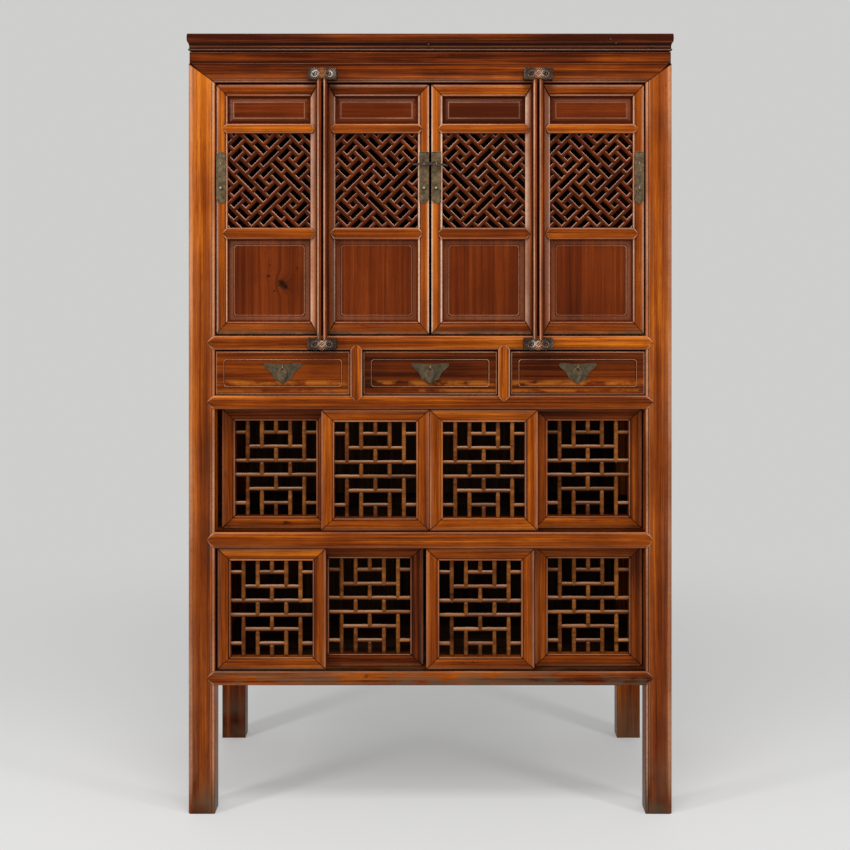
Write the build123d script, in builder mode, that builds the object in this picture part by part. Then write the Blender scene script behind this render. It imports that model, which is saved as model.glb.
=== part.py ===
"""A tall wooden book cabinet: hinged lattice doors over drawers over sliding lattice doors.

Millimetres, +Z up, front faces -Y. The origin is on the floor, under the middle of the whole cabinet.
Each sub-part is one node. Members that are jointed together, not glued, stay separate solids in it.
"""

import os
from math import sqrt

from build123d import *

# Posts
WIDTH = 1090.0  # over the posts
DEPTH = 490.0  # over the posts
POST_W = 60.0
POST_D = 46.0
POST_ROUND = 8.0  # outer front edge
POST_BEAD = 7.0  # bead on the inner front edge
BEAD_SINK = 1.5  # depth of the quirk beside a bead
LEG_H = 290.0  # floor to the bottom rail

# Front rails, from the floor up
BOTTOM_RAIL_H = 32.0
MIDDLE_RAIL_H = 37.0
DRAWER_RAIL_H = 31.0
DOOR_RAIL_H = 32.0
TOP_RAIL_H = 43.5
TOP_RAIL_T = 30.0
TRACK_RAIL_D = 56.0  # rails that carry two tracks
RAIL_BULGE = 4.0  # how far a cushioned face stands proud of the posts
RAIL_POINT = 18.0  # how far a rail's point lies over the post
NOTCH_D = 10.0  # depth of the V notches that the points sit in
DIVIDER_W = 27.0
DIVIDER_POINT = 13.0

# Sliding doors: a grid of square cells between round sticks, in a mitred frame
CELL = 23.9
STICK = 8.3
CELLS_ACROSS = 6
CELLS_HIGH = 7
SLIDER_STILE = 29.5
SLIDER_RAIL = 27.5
SLIDER_T = 20.0
SLIDER_BEAD = 4.0
SLIDER_BULGE = 2.0
SLIDER_SETBACK = 4.0  # front doors behind the posts' face
TRACK_GAP = 3.0  # between a front door and a rear door
SLIDE_GAP = 2.0  # above and below a door's frame
TONGUE_T = 8.0
TONGUE_LOW = 5.0
TONGUE_HIGH = 8.0
TRACK_PLAY = 0.5
STICK_T = 9.0  # thickness of the sliding doors' lattice
OPEN_LEFT = 11.4  # how far the leftmost upper door stands open at rest
STOP_GAP = 4.0  # sliding door to post at rest

# Drawers
DRAWER_H = 97.0
DRAWER_GAP_LOW = 1.8
DRAWER_GAP_HIGH = 3.7
DRAWER_GAP_SIDE = 2.0
DRAWER_SETBACK = 2.0
DRAWER_FRONT_T = 20.0
DRAWER_L = 390.0
DRAWER_SIDE_H = 76.0
DRAWER_BOARD_T = 10.0
DRAWER_BOTTOM_T = 6.0
RIDGE_INSET = 17.0  # raised line on a drawer front
RIDGE_W = 2.5
RIDGE_H = 1.5

# Hinged leaves, from the top down
LEAF_TOP_RAIL = 26.2
LEAF_TOP_PANEL = 62.6
LEAF_UPPER_BAR = 21.2
LEAF_LATTICE = 212.8
LEAF_LOWER_BAR = 26.0
LEAF_LOW_PANEL = 185.7
LEAF_LOW_RAIL = 28.5
LEAF_STILE = 25.0
HINGE_STILE = 25.6
LEAF_T = 24.0
LEAF_BULGE = 1.5
LEAF_BEAD = 6.0
LEAF_SETBACK = 2.0
LEAF_GAP_LOW = 3.0
LEAF_GAP_HIGH = 4.0
POST_GAP = 3.0
CENTRE_GAP = 5.5
ROD_GAP = 4.3  # between two neighbouring pivot rods
ROD_R = 4.75
ROD_IN_BLOCK = 15.0
BAR_BULGE = 2.0
BAR_POINT = 10.8
BAR_NOTCH = 6.0
PANEL_T = 8.0
PANEL_SINK = 8.0  # panel behind the leaf's face
FIELD_INSET = 14.0  # raised field of the top panel
FIELD_RISE = 4.0
FIELD_SLOPE = 40.0  # degrees
RIDGE_INSET_LEAF = 12.0
FRET_PITCH = 18.9  # diagonal fret: distance between stick lines
FRET_W = 8.0
FRET_T = 10.0
FRET_SINK = 5.0

# Pivot blocks
BLOCK_W = 67.0
BLOCK_H = 28.5
BLOCK_PROUD = 20.0
BLOCK_LIFT = 3.5
BLOCK_BEVEL = 3.0

# Frame members of leaves and sliding doors
EASED_W = 5.0  # width of the slope at each edge of a member's face

# Brass
PLATE_T = 1.5
PULL_W = 85.0
PULL_H = 49.0
PULL_DROP = 26.2  # top of the handle plate below the top of the drawer front
PENDANT_W = 23.0
PENDANT_H = 36.0
PENDANT_T = 2.0
EYE_DROP = 9.0  # staple below the top of the handle plate
EYE_R = 3.5
STAPLE_T = 1.8
HOLE_R = 2.0
PENDANT_SLACK = 0.6  # top edge of a pendant's hole above the strip that it hangs on
LOCK_W = 21.0
LOCK_H = 116.0
LOCK_Z = 295.5  # bottom of a lock plate above the bottom of its leaf
LOCK_INSET = 0.5
LOCK_EYE = 89.0  # staple and stud above the bottom of a lock plate
LOCK_STUD = 34.0
STUD_R = 4.0
STUD_H = 3.0
STUD_TAPER = 20.0  # degrees
STUD_SIDES = 12
LOCK_PENDANT_W = 14.0
LOCK_PENDANT_H = 38.0

# Hidden carcass
SIDE_INSET = 4.0  # side and back rails behind the posts' outer face
SIDE_RAIL_T = 36.0
BACK_RAIL_T = 30.0
SIDE_PANEL_T = 10.0
FLOOR_T = 12.0
BATTEN_W = 40.0
BATTEN_H = 18.0
BATTEN_X = 240.0
RUNNER_T = 12.0
RUNNER_REACH = 20.0  # runner under a drawer's side
GUIDE_H = 20.0
SHELF_T = 18.0
SHELF_DEPTH = 350.0
SHELF_DROP = 4.0  # shelf top below the leaves' lower bar
BEARER_W = 18.0
BEARER_H = 24.0

# Frieze and cap
FRIEZE_H = 28.5
FRIEZE_T = 22.0
FRIEZE_INSET = 2.7
FRIEZE_GROOVE = 3.0
CAP_H = 38.0
CAP_W = 62.0
CAP_OVERHANG = 3.0
CAP_PANEL_T = 12.0

# Fits
CLEAR = 0.3  # a moving piece and its seat
PIVOT_CLEAR = 0.1  # a rod in its hole, on the radius
OVERCUT = 1.0

# Worked out: across the front
INNER = WIDTH / 2 - POST_W
FRONT = (BLOCK_PROUD - DEPTH - CAP_OVERHANG) / 2
BACK = FRONT + DEPTH
SLIDER_OPENING = CELLS_ACROSS * CELL + (CELLS_ACROSS - 1) * STICK
SLIDER_W = SLIDER_OPENING + 2 * SLIDER_STILE
SLIDER_LATTICE = CELLS_HIGH * CELL + (CELLS_HIGH - 1) * STICK
SLIDER_H = SLIDER_LATTICE + 2 * SLIDER_RAIL
DRAWER_OPENING = (2 * INNER - 2 * DIVIDER_W) / 3
DRAWER_W = DRAWER_OPENING - 2 * DRAWER_GAP_SIDE
LEAF_W = (INNER - POST_GAP - CENTRE_GAP / 2 - ROD_GAP) / 2
LEAF_OPENING = LEAF_W - LEAF_STILE - HINGE_STILE
LEAF_FRONT = FRONT + LEAF_SETBACK
ROD_Y = FRONT - RAIL_BULGE - ROD_R - CLEAR
LEAF_X = -INNER + POST_GAP
ROD_X = LEAF_X + LEAF_W - ROD_R
TRACK_Y = [FRONT + SLIDER_SETBACK, FRONT + SLIDER_SETBACK + SLIDER_T + TRACK_GAP]
SIDE_IN = WIDTH / 2 - SIDE_INSET - SIDE_RAIL_T
BACK_IN = BACK - SIDE_INSET - BACK_RAIL_T

# Worked out: up the front
SLIDE_OPENING_H = SLIDER_H + 2 * SLIDE_GAP
DRAWER_OPENING_H = DRAWER_H + DRAWER_GAP_LOW + DRAWER_GAP_HIGH
LEAF_H = (LEAF_TOP_RAIL + LEAF_TOP_PANEL + LEAF_UPPER_BAR + LEAF_LATTICE
          + LEAF_LOWER_BAR + LEAF_LOW_PANEL + LEAF_LOW_RAIL)
LOWER_Z = LEG_H + BOTTOM_RAIL_H
MIDDLE_RAIL_Z = LOWER_Z + SLIDE_OPENING_H
UPPER_Z = MIDDLE_RAIL_Z + MIDDLE_RAIL_H
DRAWER_RAIL_Z = UPPER_Z + SLIDE_OPENING_H
DRAWER_Z = DRAWER_RAIL_Z + DRAWER_RAIL_H
DOOR_RAIL_Z = DRAWER_Z + DRAWER_OPENING_H
DOOR_Z = DOOR_RAIL_Z + DOOR_RAIL_H
TOP_RAIL_Z = DOOR_Z + LEAF_GAP_LOW + LEAF_H + LEAF_GAP_HIGH
TOP_Z = TOP_RAIL_Z + TOP_RAIL_H
CAP_Z = TOP_Z + FRIEZE_H
HEIGHT = CAP_Z + CAP_H
LEAF_Z = DOOR_Z + LEAF_GAP_LOW

# Low edge and height of every rail level, shared by the front, the sides and the back
LEVELS = {
    "bottom": (LEG_H, BOTTOM_RAIL_H),
    "middle": (MIDDLE_RAIL_Z, MIDDLE_RAIL_H),
    "drawer": (DRAWER_RAIL_Z, DRAWER_RAIL_H),
    "door": (DOOR_RAIL_Z, DOOR_RAIL_H),
    "top": (TOP_RAIL_Z, TOP_RAIL_H),
}

nodes = {}


# Forms used by more than one piece


def board(x_limits, y_limits, z_limits):
    """A plain board between three pairs of limits."""
    with BuildPart() as piece:
        with BuildSketch(Plane.XY.offset(z_limits[0])):
            with Locations((sum(x_limits) / 2, sum(y_limits) / 2)):
                Rectangle(x_limits[1] - x_limits[0], y_limits[1] - y_limits[0])
        extrude(amount=z_limits[1] - z_limits[0])
    return piece.part


def facing(x, y, z):
    """A plane that looks out of the cabinet's front, with its origin at a point."""
    return Plane(origin=(x, y, z), x_dir=(1, 0, 0), z_dir=(0, -1, 0))


def pointed_bar(face, length, height, depth, point, bulge, notch):
    """A bar with a cushioned face. Its face ends in points; behind them it stops at square shoulders."""
    across = Plane(origin=face.origin, x_dir=face.y_dir, z_dir=face.x_dir)
    with BuildPart() as bar:
        with BuildSketch(across):
            with BuildLine():
                ThreePointArc((-height / 2, 0), (0, bulge), (height / 2, 0))
                Polyline((height / 2, 0), (height / 2, -depth), (-height / 2, -depth), (-height / 2, 0))
            make_face()
        extrude(amount=length / 2 + point, both=True)
        with BuildSketch(face.offset(-notch)):
            for end in (-1, 1):
                tip_x, root_x = end * (length / 2 + point), end * length / 2
                for edge in (-height / 2, height / 2):
                    Polygon((tip_x, 0), (tip_x, edge), (root_x, edge), align=None)
        extrude(amount=notch + bulge + OVERCUT, mode=Mode.SUBTRACT)
        with BuildSketch(face.offset(-notch)):
            for end in (-1, 1):
                with Locations((end * (length + point) / 2, 0)):
                    Rectangle(point, height)
        extrude(amount=-depth, mode=Mode.SUBTRACT)
    return bar.part


def cut_points(face, length, height, point, bulge, notch):
    """In the part that is open: cut the V notches that a pointed bar's two ends sit in."""
    with BuildSketch(face.offset(-notch)) as notches:
        for end in (-1, 1):
            root = end * length / 2
            Polygon((root, -height / 2), (root + end * point, 0), (root, height / 2), align=None)
    extrude(notches.sketch, amount=notch + bulge + OVERCUT, dir=face.z_dir, mode=Mode.SUBTRACT)


def clipped_rectangle(width, height, corner):
    """A rectangle with its corners cut off."""
    with BuildSketch() as outline:
        Rectangle(width, height)
        chamfer(outline.vertices(), corner)
    return outline.sketch


def moulded_section(width, thickness, bulge, bead):
    """A frame member's section, from its outer edge inwards: a face eased at both edges, then a bead."""
    face_end = width - bead
    bead_y = bulge - bead / 4
    with BuildSketch() as section:
        Polygon(
            (0, thickness), (0, bulge), (EASED_W, 0), (face_end - EASED_W, 0), (face_end, bulge),
            (face_end + bead / 3, bead_y), (width - bead / 3, bead_y), (width, bulge), (width, thickness),
            align=None,
        )
    return section.sketch


def mitred(section, start, inward, along, length, outline, through=Plane.XZ):
    """Run a section along one side of a frame, then cut its ends to the frame's mitres."""
    with BuildPart() as member:
        with BuildSketch(Plane(origin=start, x_dir=inward, z_dir=along)):
            add(section)
        extrude(amount=length)
        with BuildSketch(through):
            Polygon(*outline, align=None)
        extrude(amount=WIDTH + HEIGHT, both=True, mode=Mode.INTERSECT)
    return member.part


def ring_outlines(x0, x1, y0, y1, width):
    """The four mitred outlines of a rectangular frame seen flat: low, high, left, right."""
    outer = [(x0, y0), (x1, y0), (x1, y1), (x0, y1)]
    ways = [(1, 1), (-1, 1), (-1, -1), (1, -1)]
    inner = [(x + way_x * width, y + way_y * width) for (x, y), (way_x, way_y) in zip(outer, ways)]
    sides = [(0, 1), (3, 2), (0, 3), (1, 2)]
    return [[outer[a], outer[b], inner[b], inner[a]] for a, b in sides]


def staple(at):
    """A bent strip that stands out of a plate: two short legs and a half ring."""
    leg = PENDANT_T / 2 + CLEAR
    with BuildPart() as eye:
        with BuildLine(Plane(origin=at.origin, x_dir=at.z_dir, z_dir=at.x_dir)) as path:
            Line((0, EYE_R), (leg, EYE_R))
            ThreePointArc((leg, EYE_R), (leg + EYE_R, 0), (leg, -EYE_R))
            Line((leg, -EYE_R), (0, -EYE_R))
        with BuildSketch(Plane(origin=path.line @ 0, z_dir=path.line % 0)):
            Rectangle(STAPLE_T, STAPLE_T)
        sweep()
    return eye.part


def pendant(at, width, height):
    """A leaf-shaped drop that hangs by a hole on a staple and lies just clear of its plate."""
    hang = EYE_R + HOLE_R - STAPLE_T / 2 - PENDANT_SLACK
    top = -hang + 2 * HOLE_R
    shoulder = (0.34 * width, top - 0.11 * height)
    widest = (width / 2, top - 0.42 * height)
    belly = (0.38 * width, top - 0.76 * height)
    with BuildPart() as drop:
        with BuildSketch(at.offset(CLEAR)):
            with BuildLine():
                ThreePointArc((0, top), shoulder, widest)
                ThreePointArc(widest, belly, (0, top - height))
                mirror(about=Plane.YZ)
            make_face()
            with Locations((0, -hang)):
                Circle(HOLE_R, mode=Mode.SUBTRACT)
        extrude(amount=PENDANT_T)
    return drop.part


# Posts: the four corners run from the floor to the frieze

RAIL_FACES = {
    name: facing(0, FRONT, low + height / 2) for name, (low, height) in LEVELS.items() if name != "top"
}
LEFT = -WIDTH / 2
BEAD_X = -INNER - POST_BEAD
BEAD_Y = FRONT + BEAD_SINK

with BuildPart() as front_post:
    with BuildSketch():
        with BuildLine():
            TangentArc((LEFT, FRONT + POST_ROUND), (LEFT + POST_ROUND, FRONT), tangent=(0, -1))
            Polyline((LEFT + POST_ROUND, FRONT), (BEAD_X, FRONT), (BEAD_X, BEAD_Y))
            ThreePointArc((BEAD_X, BEAD_Y), (BEAD_X + POST_BEAD / 2, FRONT), (-INNER, BEAD_Y))
            Polyline(
                (-INNER, BEAD_Y), (-INNER, FRONT + POST_D), (LEFT, FRONT + POST_D), (LEFT, FRONT + POST_ROUND)
            )
        make_face()
    extrude(amount=TOP_Z)
    for name, rail_face in RAIL_FACES.items():
        cut_points(rail_face, 2 * INNER, LEVELS[name][1], RAIL_POINT, RAIL_BULGE, NOTCH_D)
    with BuildSketch(facing(0, FRONT, 0)):
        Polygon((-INNER, TOP_RAIL_Z), (-INNER, TOP_Z), (LEFT, TOP_Z), align=None)
    extrude(amount=-TOP_RAIL_T, mode=Mode.SUBTRACT)
nodes["front_post_left"] = front_post.part
nodes["front_post_right"] = mirror(front_post.part, about=Plane.YZ)

with BuildPart() as back_post:
    with BuildSketch():
        with BuildLine():
            TangentArc((LEFT, BACK - POST_ROUND), (LEFT + POST_ROUND, BACK), tangent=(0, 1))
            Polyline(
                (LEFT + POST_ROUND, BACK), (-INNER, BACK), (-INNER, BACK - POST_D), (LEFT, BACK - POST_D),
                (LEFT, BACK - POST_ROUND),
            )
        make_face()
    extrude(amount=TOP_Z)
nodes["back_posts"] = Compound([back_post.part, mirror(back_post.part, about=Plane.YZ)])

# Front rails: pointed into the posts; three of them carry the sliding doors' tracks

TRACK_CENTRES = [y + SLIDER_T / 2 - FRONT for y in TRACK_Y]
TRACK_LOW_D = TONGUE_LOW - SLIDE_GAP + CLEAR
TRACK_HIGH_D = TONGUE_HIGH - SLIDE_GAP + TRACK_LOW_D  # deep enough to lift a door out
DIVIDER_X = DRAWER_OPENING / 2 + DIVIDER_W / 2
DIVIDER_MID = DRAWER_Z + DRAWER_OPENING_H / 2
DIVIDER_FACES = [
    Plane(origin=(x, FRONT, DIVIDER_MID), x_dir=(0, 0, 1), z_dir=(0, -1, 0)) for x in (-DIVIDER_X, DIVIDER_X)
]


def front_rail(name, depth, track_above=False, track_below=False, dividers=False):
    """One rail between the front posts, grooved for the tracks and notched for the dividers it meets."""
    low, height = LEVELS[name]
    with BuildPart() as rail:
        add(pointed_bar(RAIL_FACES[name], 2 * INNER, height, depth, RAIL_POINT, RAIL_BULGE, NOTCH_D))
        for wanted, z, groove, way in (
            (track_above, low + height, TRACK_LOW_D, -1),
            (track_below, low, TRACK_HIGH_D, 1),
        ):
            if wanted:
                with BuildSketch(Plane.XY.offset(z)):
                    for centre in TRACK_CENTRES:
                        with Locations((0, FRONT + centre)):
                            Rectangle(2 * INNER, TONGUE_T + 2 * TRACK_PLAY)
                extrude(amount=way * groove, mode=Mode.SUBTRACT)
        if dividers:
            for divider_face in DIVIDER_FACES:
                cut_points(divider_face, DRAWER_OPENING_H, DIVIDER_W, DIVIDER_POINT, RAIL_BULGE, NOTCH_D)
    return rail.part


nodes["bottom_rail"] = front_rail("bottom", TRACK_RAIL_D, track_above=True)
nodes["middle_rail"] = front_rail("middle", TRACK_RAIL_D, track_above=True, track_below=True)
nodes["drawer_rail"] = front_rail("drawer", TRACK_RAIL_D, track_below=True, dividers=True)
nodes["door_rail"] = front_rail("door", POST_D, dividers=True)

# The top rail is mitred to the posts and carries the same bead on its lower edge
RAIL_BEAD = POST_BEAD * TOP_RAIL_H / POST_W
with BuildPart() as top_rail:
    with BuildSketch(Plane.YZ):
        with BuildLine():
            ThreePointArc(
                (BEAD_Y, TOP_RAIL_Z), (FRONT, TOP_RAIL_Z + RAIL_BEAD / 2), (BEAD_Y, TOP_RAIL_Z + RAIL_BEAD)
            )
            Polyline(
                (BEAD_Y, TOP_RAIL_Z + RAIL_BEAD), (FRONT, TOP_RAIL_Z + RAIL_BEAD), (FRONT, TOP_Z),
                (FRONT + TOP_RAIL_T, TOP_Z), (FRONT + TOP_RAIL_T, TOP_RAIL_Z), (BEAD_Y, TOP_RAIL_Z),
            )
        make_face()
    extrude(amount=WIDTH / 2, both=True)
    with BuildSketch(facing(0, FRONT, 0)):
        Polygon((LEFT, TOP_Z), (-INNER, TOP_RAIL_Z), (INNER, TOP_RAIL_Z), (-LEFT, TOP_Z), align=None)
    extrude(amount=TOP_RAIL_T, both=True, mode=Mode.INTERSECT)
    with BuildSketch(Plane.XY.offset(TOP_RAIL_Z)):
        with Locations((0, FRONT + TOP_RAIL_T)):
            RectangleRounded(WIDTH, 2 * TOP_RAIL_T, POST_ROUND)
    extrude(amount=TOP_RAIL_H, mode=Mode.INTERSECT)
nodes["top_rail"] = top_rail.part

nodes["drawer_dividers"] = Compound([
    pointed_bar(divider_face, DRAWER_OPENING_H, DIVIDER_W, POST_D, DIVIDER_POINT, RAIL_BULGE, NOTCH_D)
    for divider_face in DIVIDER_FACES
])

# Sides and back: a rail at each level with a panel between each two

SIDE_Y = (FRONT + POST_D, BACK - POST_D)
SIDE_X = (SIDE_IN, SIDE_IN + SIDE_RAIL_T)
PANEL_X = (SIDE_IN + (SIDE_RAIL_T - SIDE_PANEL_T) / 2, SIDE_IN + (SIDE_RAIL_T + SIDE_PANEL_T) / 2)
BACK_X = (-INNER, INNER)
BACK_Y = (BACK_IN, BACK_IN + BACK_RAIL_T)
BACK_PANEL_Y = (BACK_IN + (BACK_RAIL_T - SIDE_PANEL_T) / 2, BACK_IN + (BACK_RAIL_T + SIDE_PANEL_T) / 2)
RAIL_Z = [(low, low + height) for low, height in LEVELS.values()]
PANEL_Z = [(below[1], above[0]) for below, above in zip(RAIL_Z, RAIL_Z[1:])]


def both_sides(pieces):
    """Pieces of the right side, with their mirror images on the left."""
    return pieces + [mirror(piece, about=Plane.YZ) for piece in pieces]


nodes["side_rails"] = Compound(both_sides([board(SIDE_X, SIDE_Y, z) for z in RAIL_Z]))
nodes["side_panels"] = Compound(both_sides([board(PANEL_X, SIDE_Y, z) for z in PANEL_Z]))
nodes["back_rails"] = Compound([board(BACK_X, BACK_Y, z) for z in RAIL_Z])
nodes["back_panels"] = Compound([board(BACK_X, BACK_PANEL_Y, z) for z in PANEL_Z])

# Floors: boards notched round the back posts, on battens tenoned to the front and back rails


def floor(top_z, front_y):
    """One floor board and the two battens under it."""
    with BuildPart() as deck:
        with BuildSketch(Plane.XY.offset(top_z - FLOOR_T)):
            Polygon(
                (-SIDE_IN, front_y), (SIDE_IN, front_y), (SIDE_IN, SIDE_Y[1]), (INNER, SIDE_Y[1]),
                (INNER, BACK_IN), (-INNER, BACK_IN), (-INNER, SIDE_Y[1]), (-SIDE_IN, SIDE_Y[1]), align=None,
            )
        extrude(amount=FLOOR_T)
    under = top_z - FLOOR_T
    battens = [
        board((x - BATTEN_W / 2, x + BATTEN_W / 2), (front_y, BACK_IN), (under - BATTEN_H, under))
        for x in (-BATTEN_X, BATTEN_X)
    ]
    return Compound([deck.part] + battens)


nodes["bottom_floor"] = floor(LOWER_Z, FRONT + TRACK_RAIL_D)
nodes["middle_floor"] = floor(UPPER_Z, FRONT + TRACK_RAIL_D)
nodes["upper_floor"] = floor(DOOR_Z, FRONT + POST_D)

# Drawer runners: strips under the drawers' sides, with guides standing between the drawers

RUNNER_Y = (FRONT + TRACK_RAIL_D, BACK_IN)
RUNNER_TOP = DRAWER_Z + DRAWER_GAP_LOW - CLEAR


def runner(x_guide, x_strip):
    """One strip with its guide: the guide's and the strip's limits across the cabinet."""
    with BuildPart() as strip:
        with BuildSketch(Plane.XZ.offset(-RUNNER_Y[0])):
            with Locations((sum(x_strip) / 2, RUNNER_TOP - RUNNER_T / 2)):
                Rectangle(x_strip[1] - x_strip[0], RUNNER_T)
            with Locations((sum(x_guide) / 2, RUNNER_TOP + GUIDE_H / 2 - RUNNER_T / 2)):
                Rectangle(x_guide[1] - x_guide[0], GUIDE_H + RUNNER_T)
        extrude(amount=RUNNER_Y[0] - RUNNER_Y[1])
    return strip.part


MIDDLE_GUIDE = (DRAWER_OPENING / 2, DRAWER_OPENING / 2 + DIVIDER_W)
MIDDLE_STRIP = (MIDDLE_GUIDE[0] - RUNNER_REACH, MIDDLE_GUIDE[1] + RUNNER_REACH)
SIDE_GUIDE_Y = (RUNNER_Y[0], SIDE_Y[1])
SIDE_STRIPS = [
    board((INNER, SIDE_IN), SIDE_GUIDE_Y, (RUNNER_TOP - RUNNER_T, RUNNER_TOP + GUIDE_H)),
    board((INNER - RUNNER_REACH, INNER), RUNNER_Y, (RUNNER_TOP - RUNNER_T, RUNNER_TOP)),
]
nodes["drawer_runners"] = Compound(both_sides([runner(MIDDLE_GUIDE, MIDDLE_STRIP)] + SIDE_STRIPS))

# Book shelf behind the hinged doors, on a bearer at each side

SHELF_Z = LEAF_Z + LEAF_LOW_RAIL + LEAF_LOW_PANEL + LEAF_LOWER_BAR - SHELF_DROP
SHELF_Y = (BACK_IN - SHELF_DEPTH, BACK_IN)
nodes["book_shelf"] = Compound(
    [board((-INNER, INNER), SHELF_Y, (SHELF_Z - SHELF_T, SHELF_Z))]
    + both_sides([
        board((INNER - BEARER_W, INNER), (LEAF_FRONT + LEAF_T + TRACK_GAP, BACK_IN),
              (SHELF_Z - SHELF_T - BEARER_H, SHELF_Z - SHELF_T))
    ])
)

# Frieze boards and moulded cap, mitred at the corners, with a panel let into the cap


def ring(section, inset, z, width):
    """Four mitred members round the cabinet. The section runs inwards and up from the outer lower edge."""
    x0, x1, y0, y1 = LEFT + inset, -LEFT - inset, FRONT + inset, BACK - inset
    starts = [((x0, y0, z), (0, 1, 0), (1, 0, 0)), ((x1, y1, z), (0, -1, 0), (-1, 0, 0)),
              ((x0, y1, z), (1, 0, 0), (0, -1, 0)), ((x1, y0, z), (-1, 0, 0), (0, 1, 0))]
    lengths = [x1 - x0, x1 - x0, y1 - y0, y1 - y0]
    outlines = ring_outlines(x0, x1, y0, y1, width)
    return Compound([
        mitred(section, start, inward, along, length, outline, Plane.XY)
        for (start, inward, along), length, outline in zip(starts, lengths, outlines)
    ])


with BuildSketch() as frieze_section:
    Polygon(
        (0, 0), (FRIEZE_T, 0), (FRIEZE_T, FRIEZE_H), (FRIEZE_GROOVE, FRIEZE_H),
        (FRIEZE_GROOVE, FRIEZE_H - FRIEZE_GROOVE), (0, FRIEZE_H - FRIEZE_GROOVE), align=None,
    )
nodes["frieze_boards"] = ring(frieze_section.sketch, FRIEZE_INSET, TOP_Z, FRIEZE_T)

# From the bottom: a bead, a flat strip, a cove, and a cushioned upper edge
CAP_BEAD = 4.3
CAP_STRIP_Z = 10.9
CAP_COVE_Z = 19.4
CAP_STEP = 5.0
CAP_EDGE = 1.5
with BuildSketch() as cap_section:
    with BuildLine():
        ThreePointArc((CAP_STEP, 0), (CAP_STEP - CAP_BEAD / 2, CAP_BEAD / 2), (CAP_STEP, CAP_BEAD))
        Line((CAP_STEP, CAP_BEAD), (CAP_STEP, CAP_STRIP_Z))
        ThreePointArc(
            (CAP_STEP, CAP_STRIP_Z),
            (0.75 * CAP_STEP, (CAP_STRIP_Z + 2 * CAP_COVE_Z) / 3),
            (CAP_EDGE, CAP_COVE_Z),
        )
        ThreePointArc((CAP_EDGE, CAP_COVE_Z), (0, (CAP_COVE_Z + CAP_H) / 2), (CAP_EDGE, CAP_H))
        Polyline((CAP_EDGE, CAP_H), (CAP_W, CAP_H), (CAP_W, 0), (CAP_STEP, 0))
    make_face()
nodes["cap_frame"] = ring(cap_section.sketch, -CAP_OVERHANG, CAP_Z, CAP_W)
CAP_IN = CAP_W - CAP_OVERHANG
nodes["top_panel"] = board(
    (LEFT + CAP_IN, -LEFT - CAP_IN), (FRONT + CAP_IN, BACK - CAP_IN), (HEIGHT - CAP_PANEL_T, HEIGHT)
)

# Pivot blocks: carved blocks on the top and door rails, bored for two rods each

BLOCK_X = INNER - POST_GAP - LEAF_W - ROD_GAP / 2
TOP_BLOCK_Z = TOP_RAIL_Z + BLOCK_LIFT
LOW_BLOCK_Z = DOOR_Z - BLOCK_LIFT - BLOCK_H
ROD_LOW_Z = DOOR_Z - BLOCK_LIFT - ROD_IN_BLOCK
ROD_HIGH_Z = TOP_BLOCK_Z + ROD_IN_BLOCK
ROD_OFFSET = ROD_R + ROD_GAP / 2


def pivot_block(low_z, bore_z, way, rail):
    """One right-hand block, fitted to its rail's face and bored from the doors' side."""
    with BuildPart() as block:
        with BuildSketch(facing(BLOCK_X, FRONT, low_z + BLOCK_H / 2)):
            add(clipped_rectangle(BLOCK_W, BLOCK_H, BLOCK_BEVEL))
        extrude(amount=BLOCK_PROUD)
        add(rail, mode=Mode.SUBTRACT)
        with BuildSketch(Plane.XY.offset(bore_z)):
            with Locations((BLOCK_X - ROD_OFFSET, ROD_Y), (BLOCK_X + ROD_OFFSET, ROD_Y)):
                Circle(ROD_R + PIVOT_CLEAR)
        extrude(amount=way * (ROD_IN_BLOCK + CLEAR), mode=Mode.SUBTRACT)
    return block.part


nodes["pivot_blocks"] = Compound(both_sides([
    pivot_block(TOP_BLOCK_Z, TOP_BLOCK_Z, 1, nodes["top_rail"]),
    pivot_block(LOW_BLOCK_Z, DOOR_Z - BLOCK_LIFT, -1, nodes["door_rail"]),
]))

# Hinged leaves. The outer left leaf is made here; the others are its copies and mirror images.

LEAF_X1 = LEAF_X + LEAF_W
LEAF_TOP = LEAF_Z + LEAF_H
OPEN_X0, OPEN_X1 = LEAF_X + LEAF_STILE, LEAF_X1 - HINGE_STILE
OPEN_MID = (OPEN_X0 + OPEN_X1) / 2
LOW_PANEL_Z = LEAF_Z + LEAF_LOW_RAIL
LOWER_BAR_Z = LOW_PANEL_Z + LEAF_LOW_PANEL
LATTICE_Z = LOWER_BAR_Z + LEAF_LOWER_BAR
UPPER_BAR_Z = LATTICE_Z + LEAF_LATTICE
TOP_PANEL_Z = UPPER_BAR_Z + LEAF_UPPER_BAR
PANEL_TOP_Z = TOP_PANEL_Z + LEAF_TOP_PANEL
BARS = [
    (facing(OPEN_MID, LEAF_FRONT, z + height / 2), LEAF_OPENING, height)
    for z, height in ((LOWER_BAR_Z, LEAF_LOWER_BAR), (UPPER_BAR_Z, LEAF_UPPER_BAR))
]


def notched(member):
    """A stile with the notches that the leaf's two pointed bars sit in."""
    with BuildPart() as stile:
        add(member)
        for face, length, height in BARS:
            cut_points(face, length, height, BAR_POINT, BAR_BULGE, BAR_NOTCH)
    return stile.part


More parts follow.
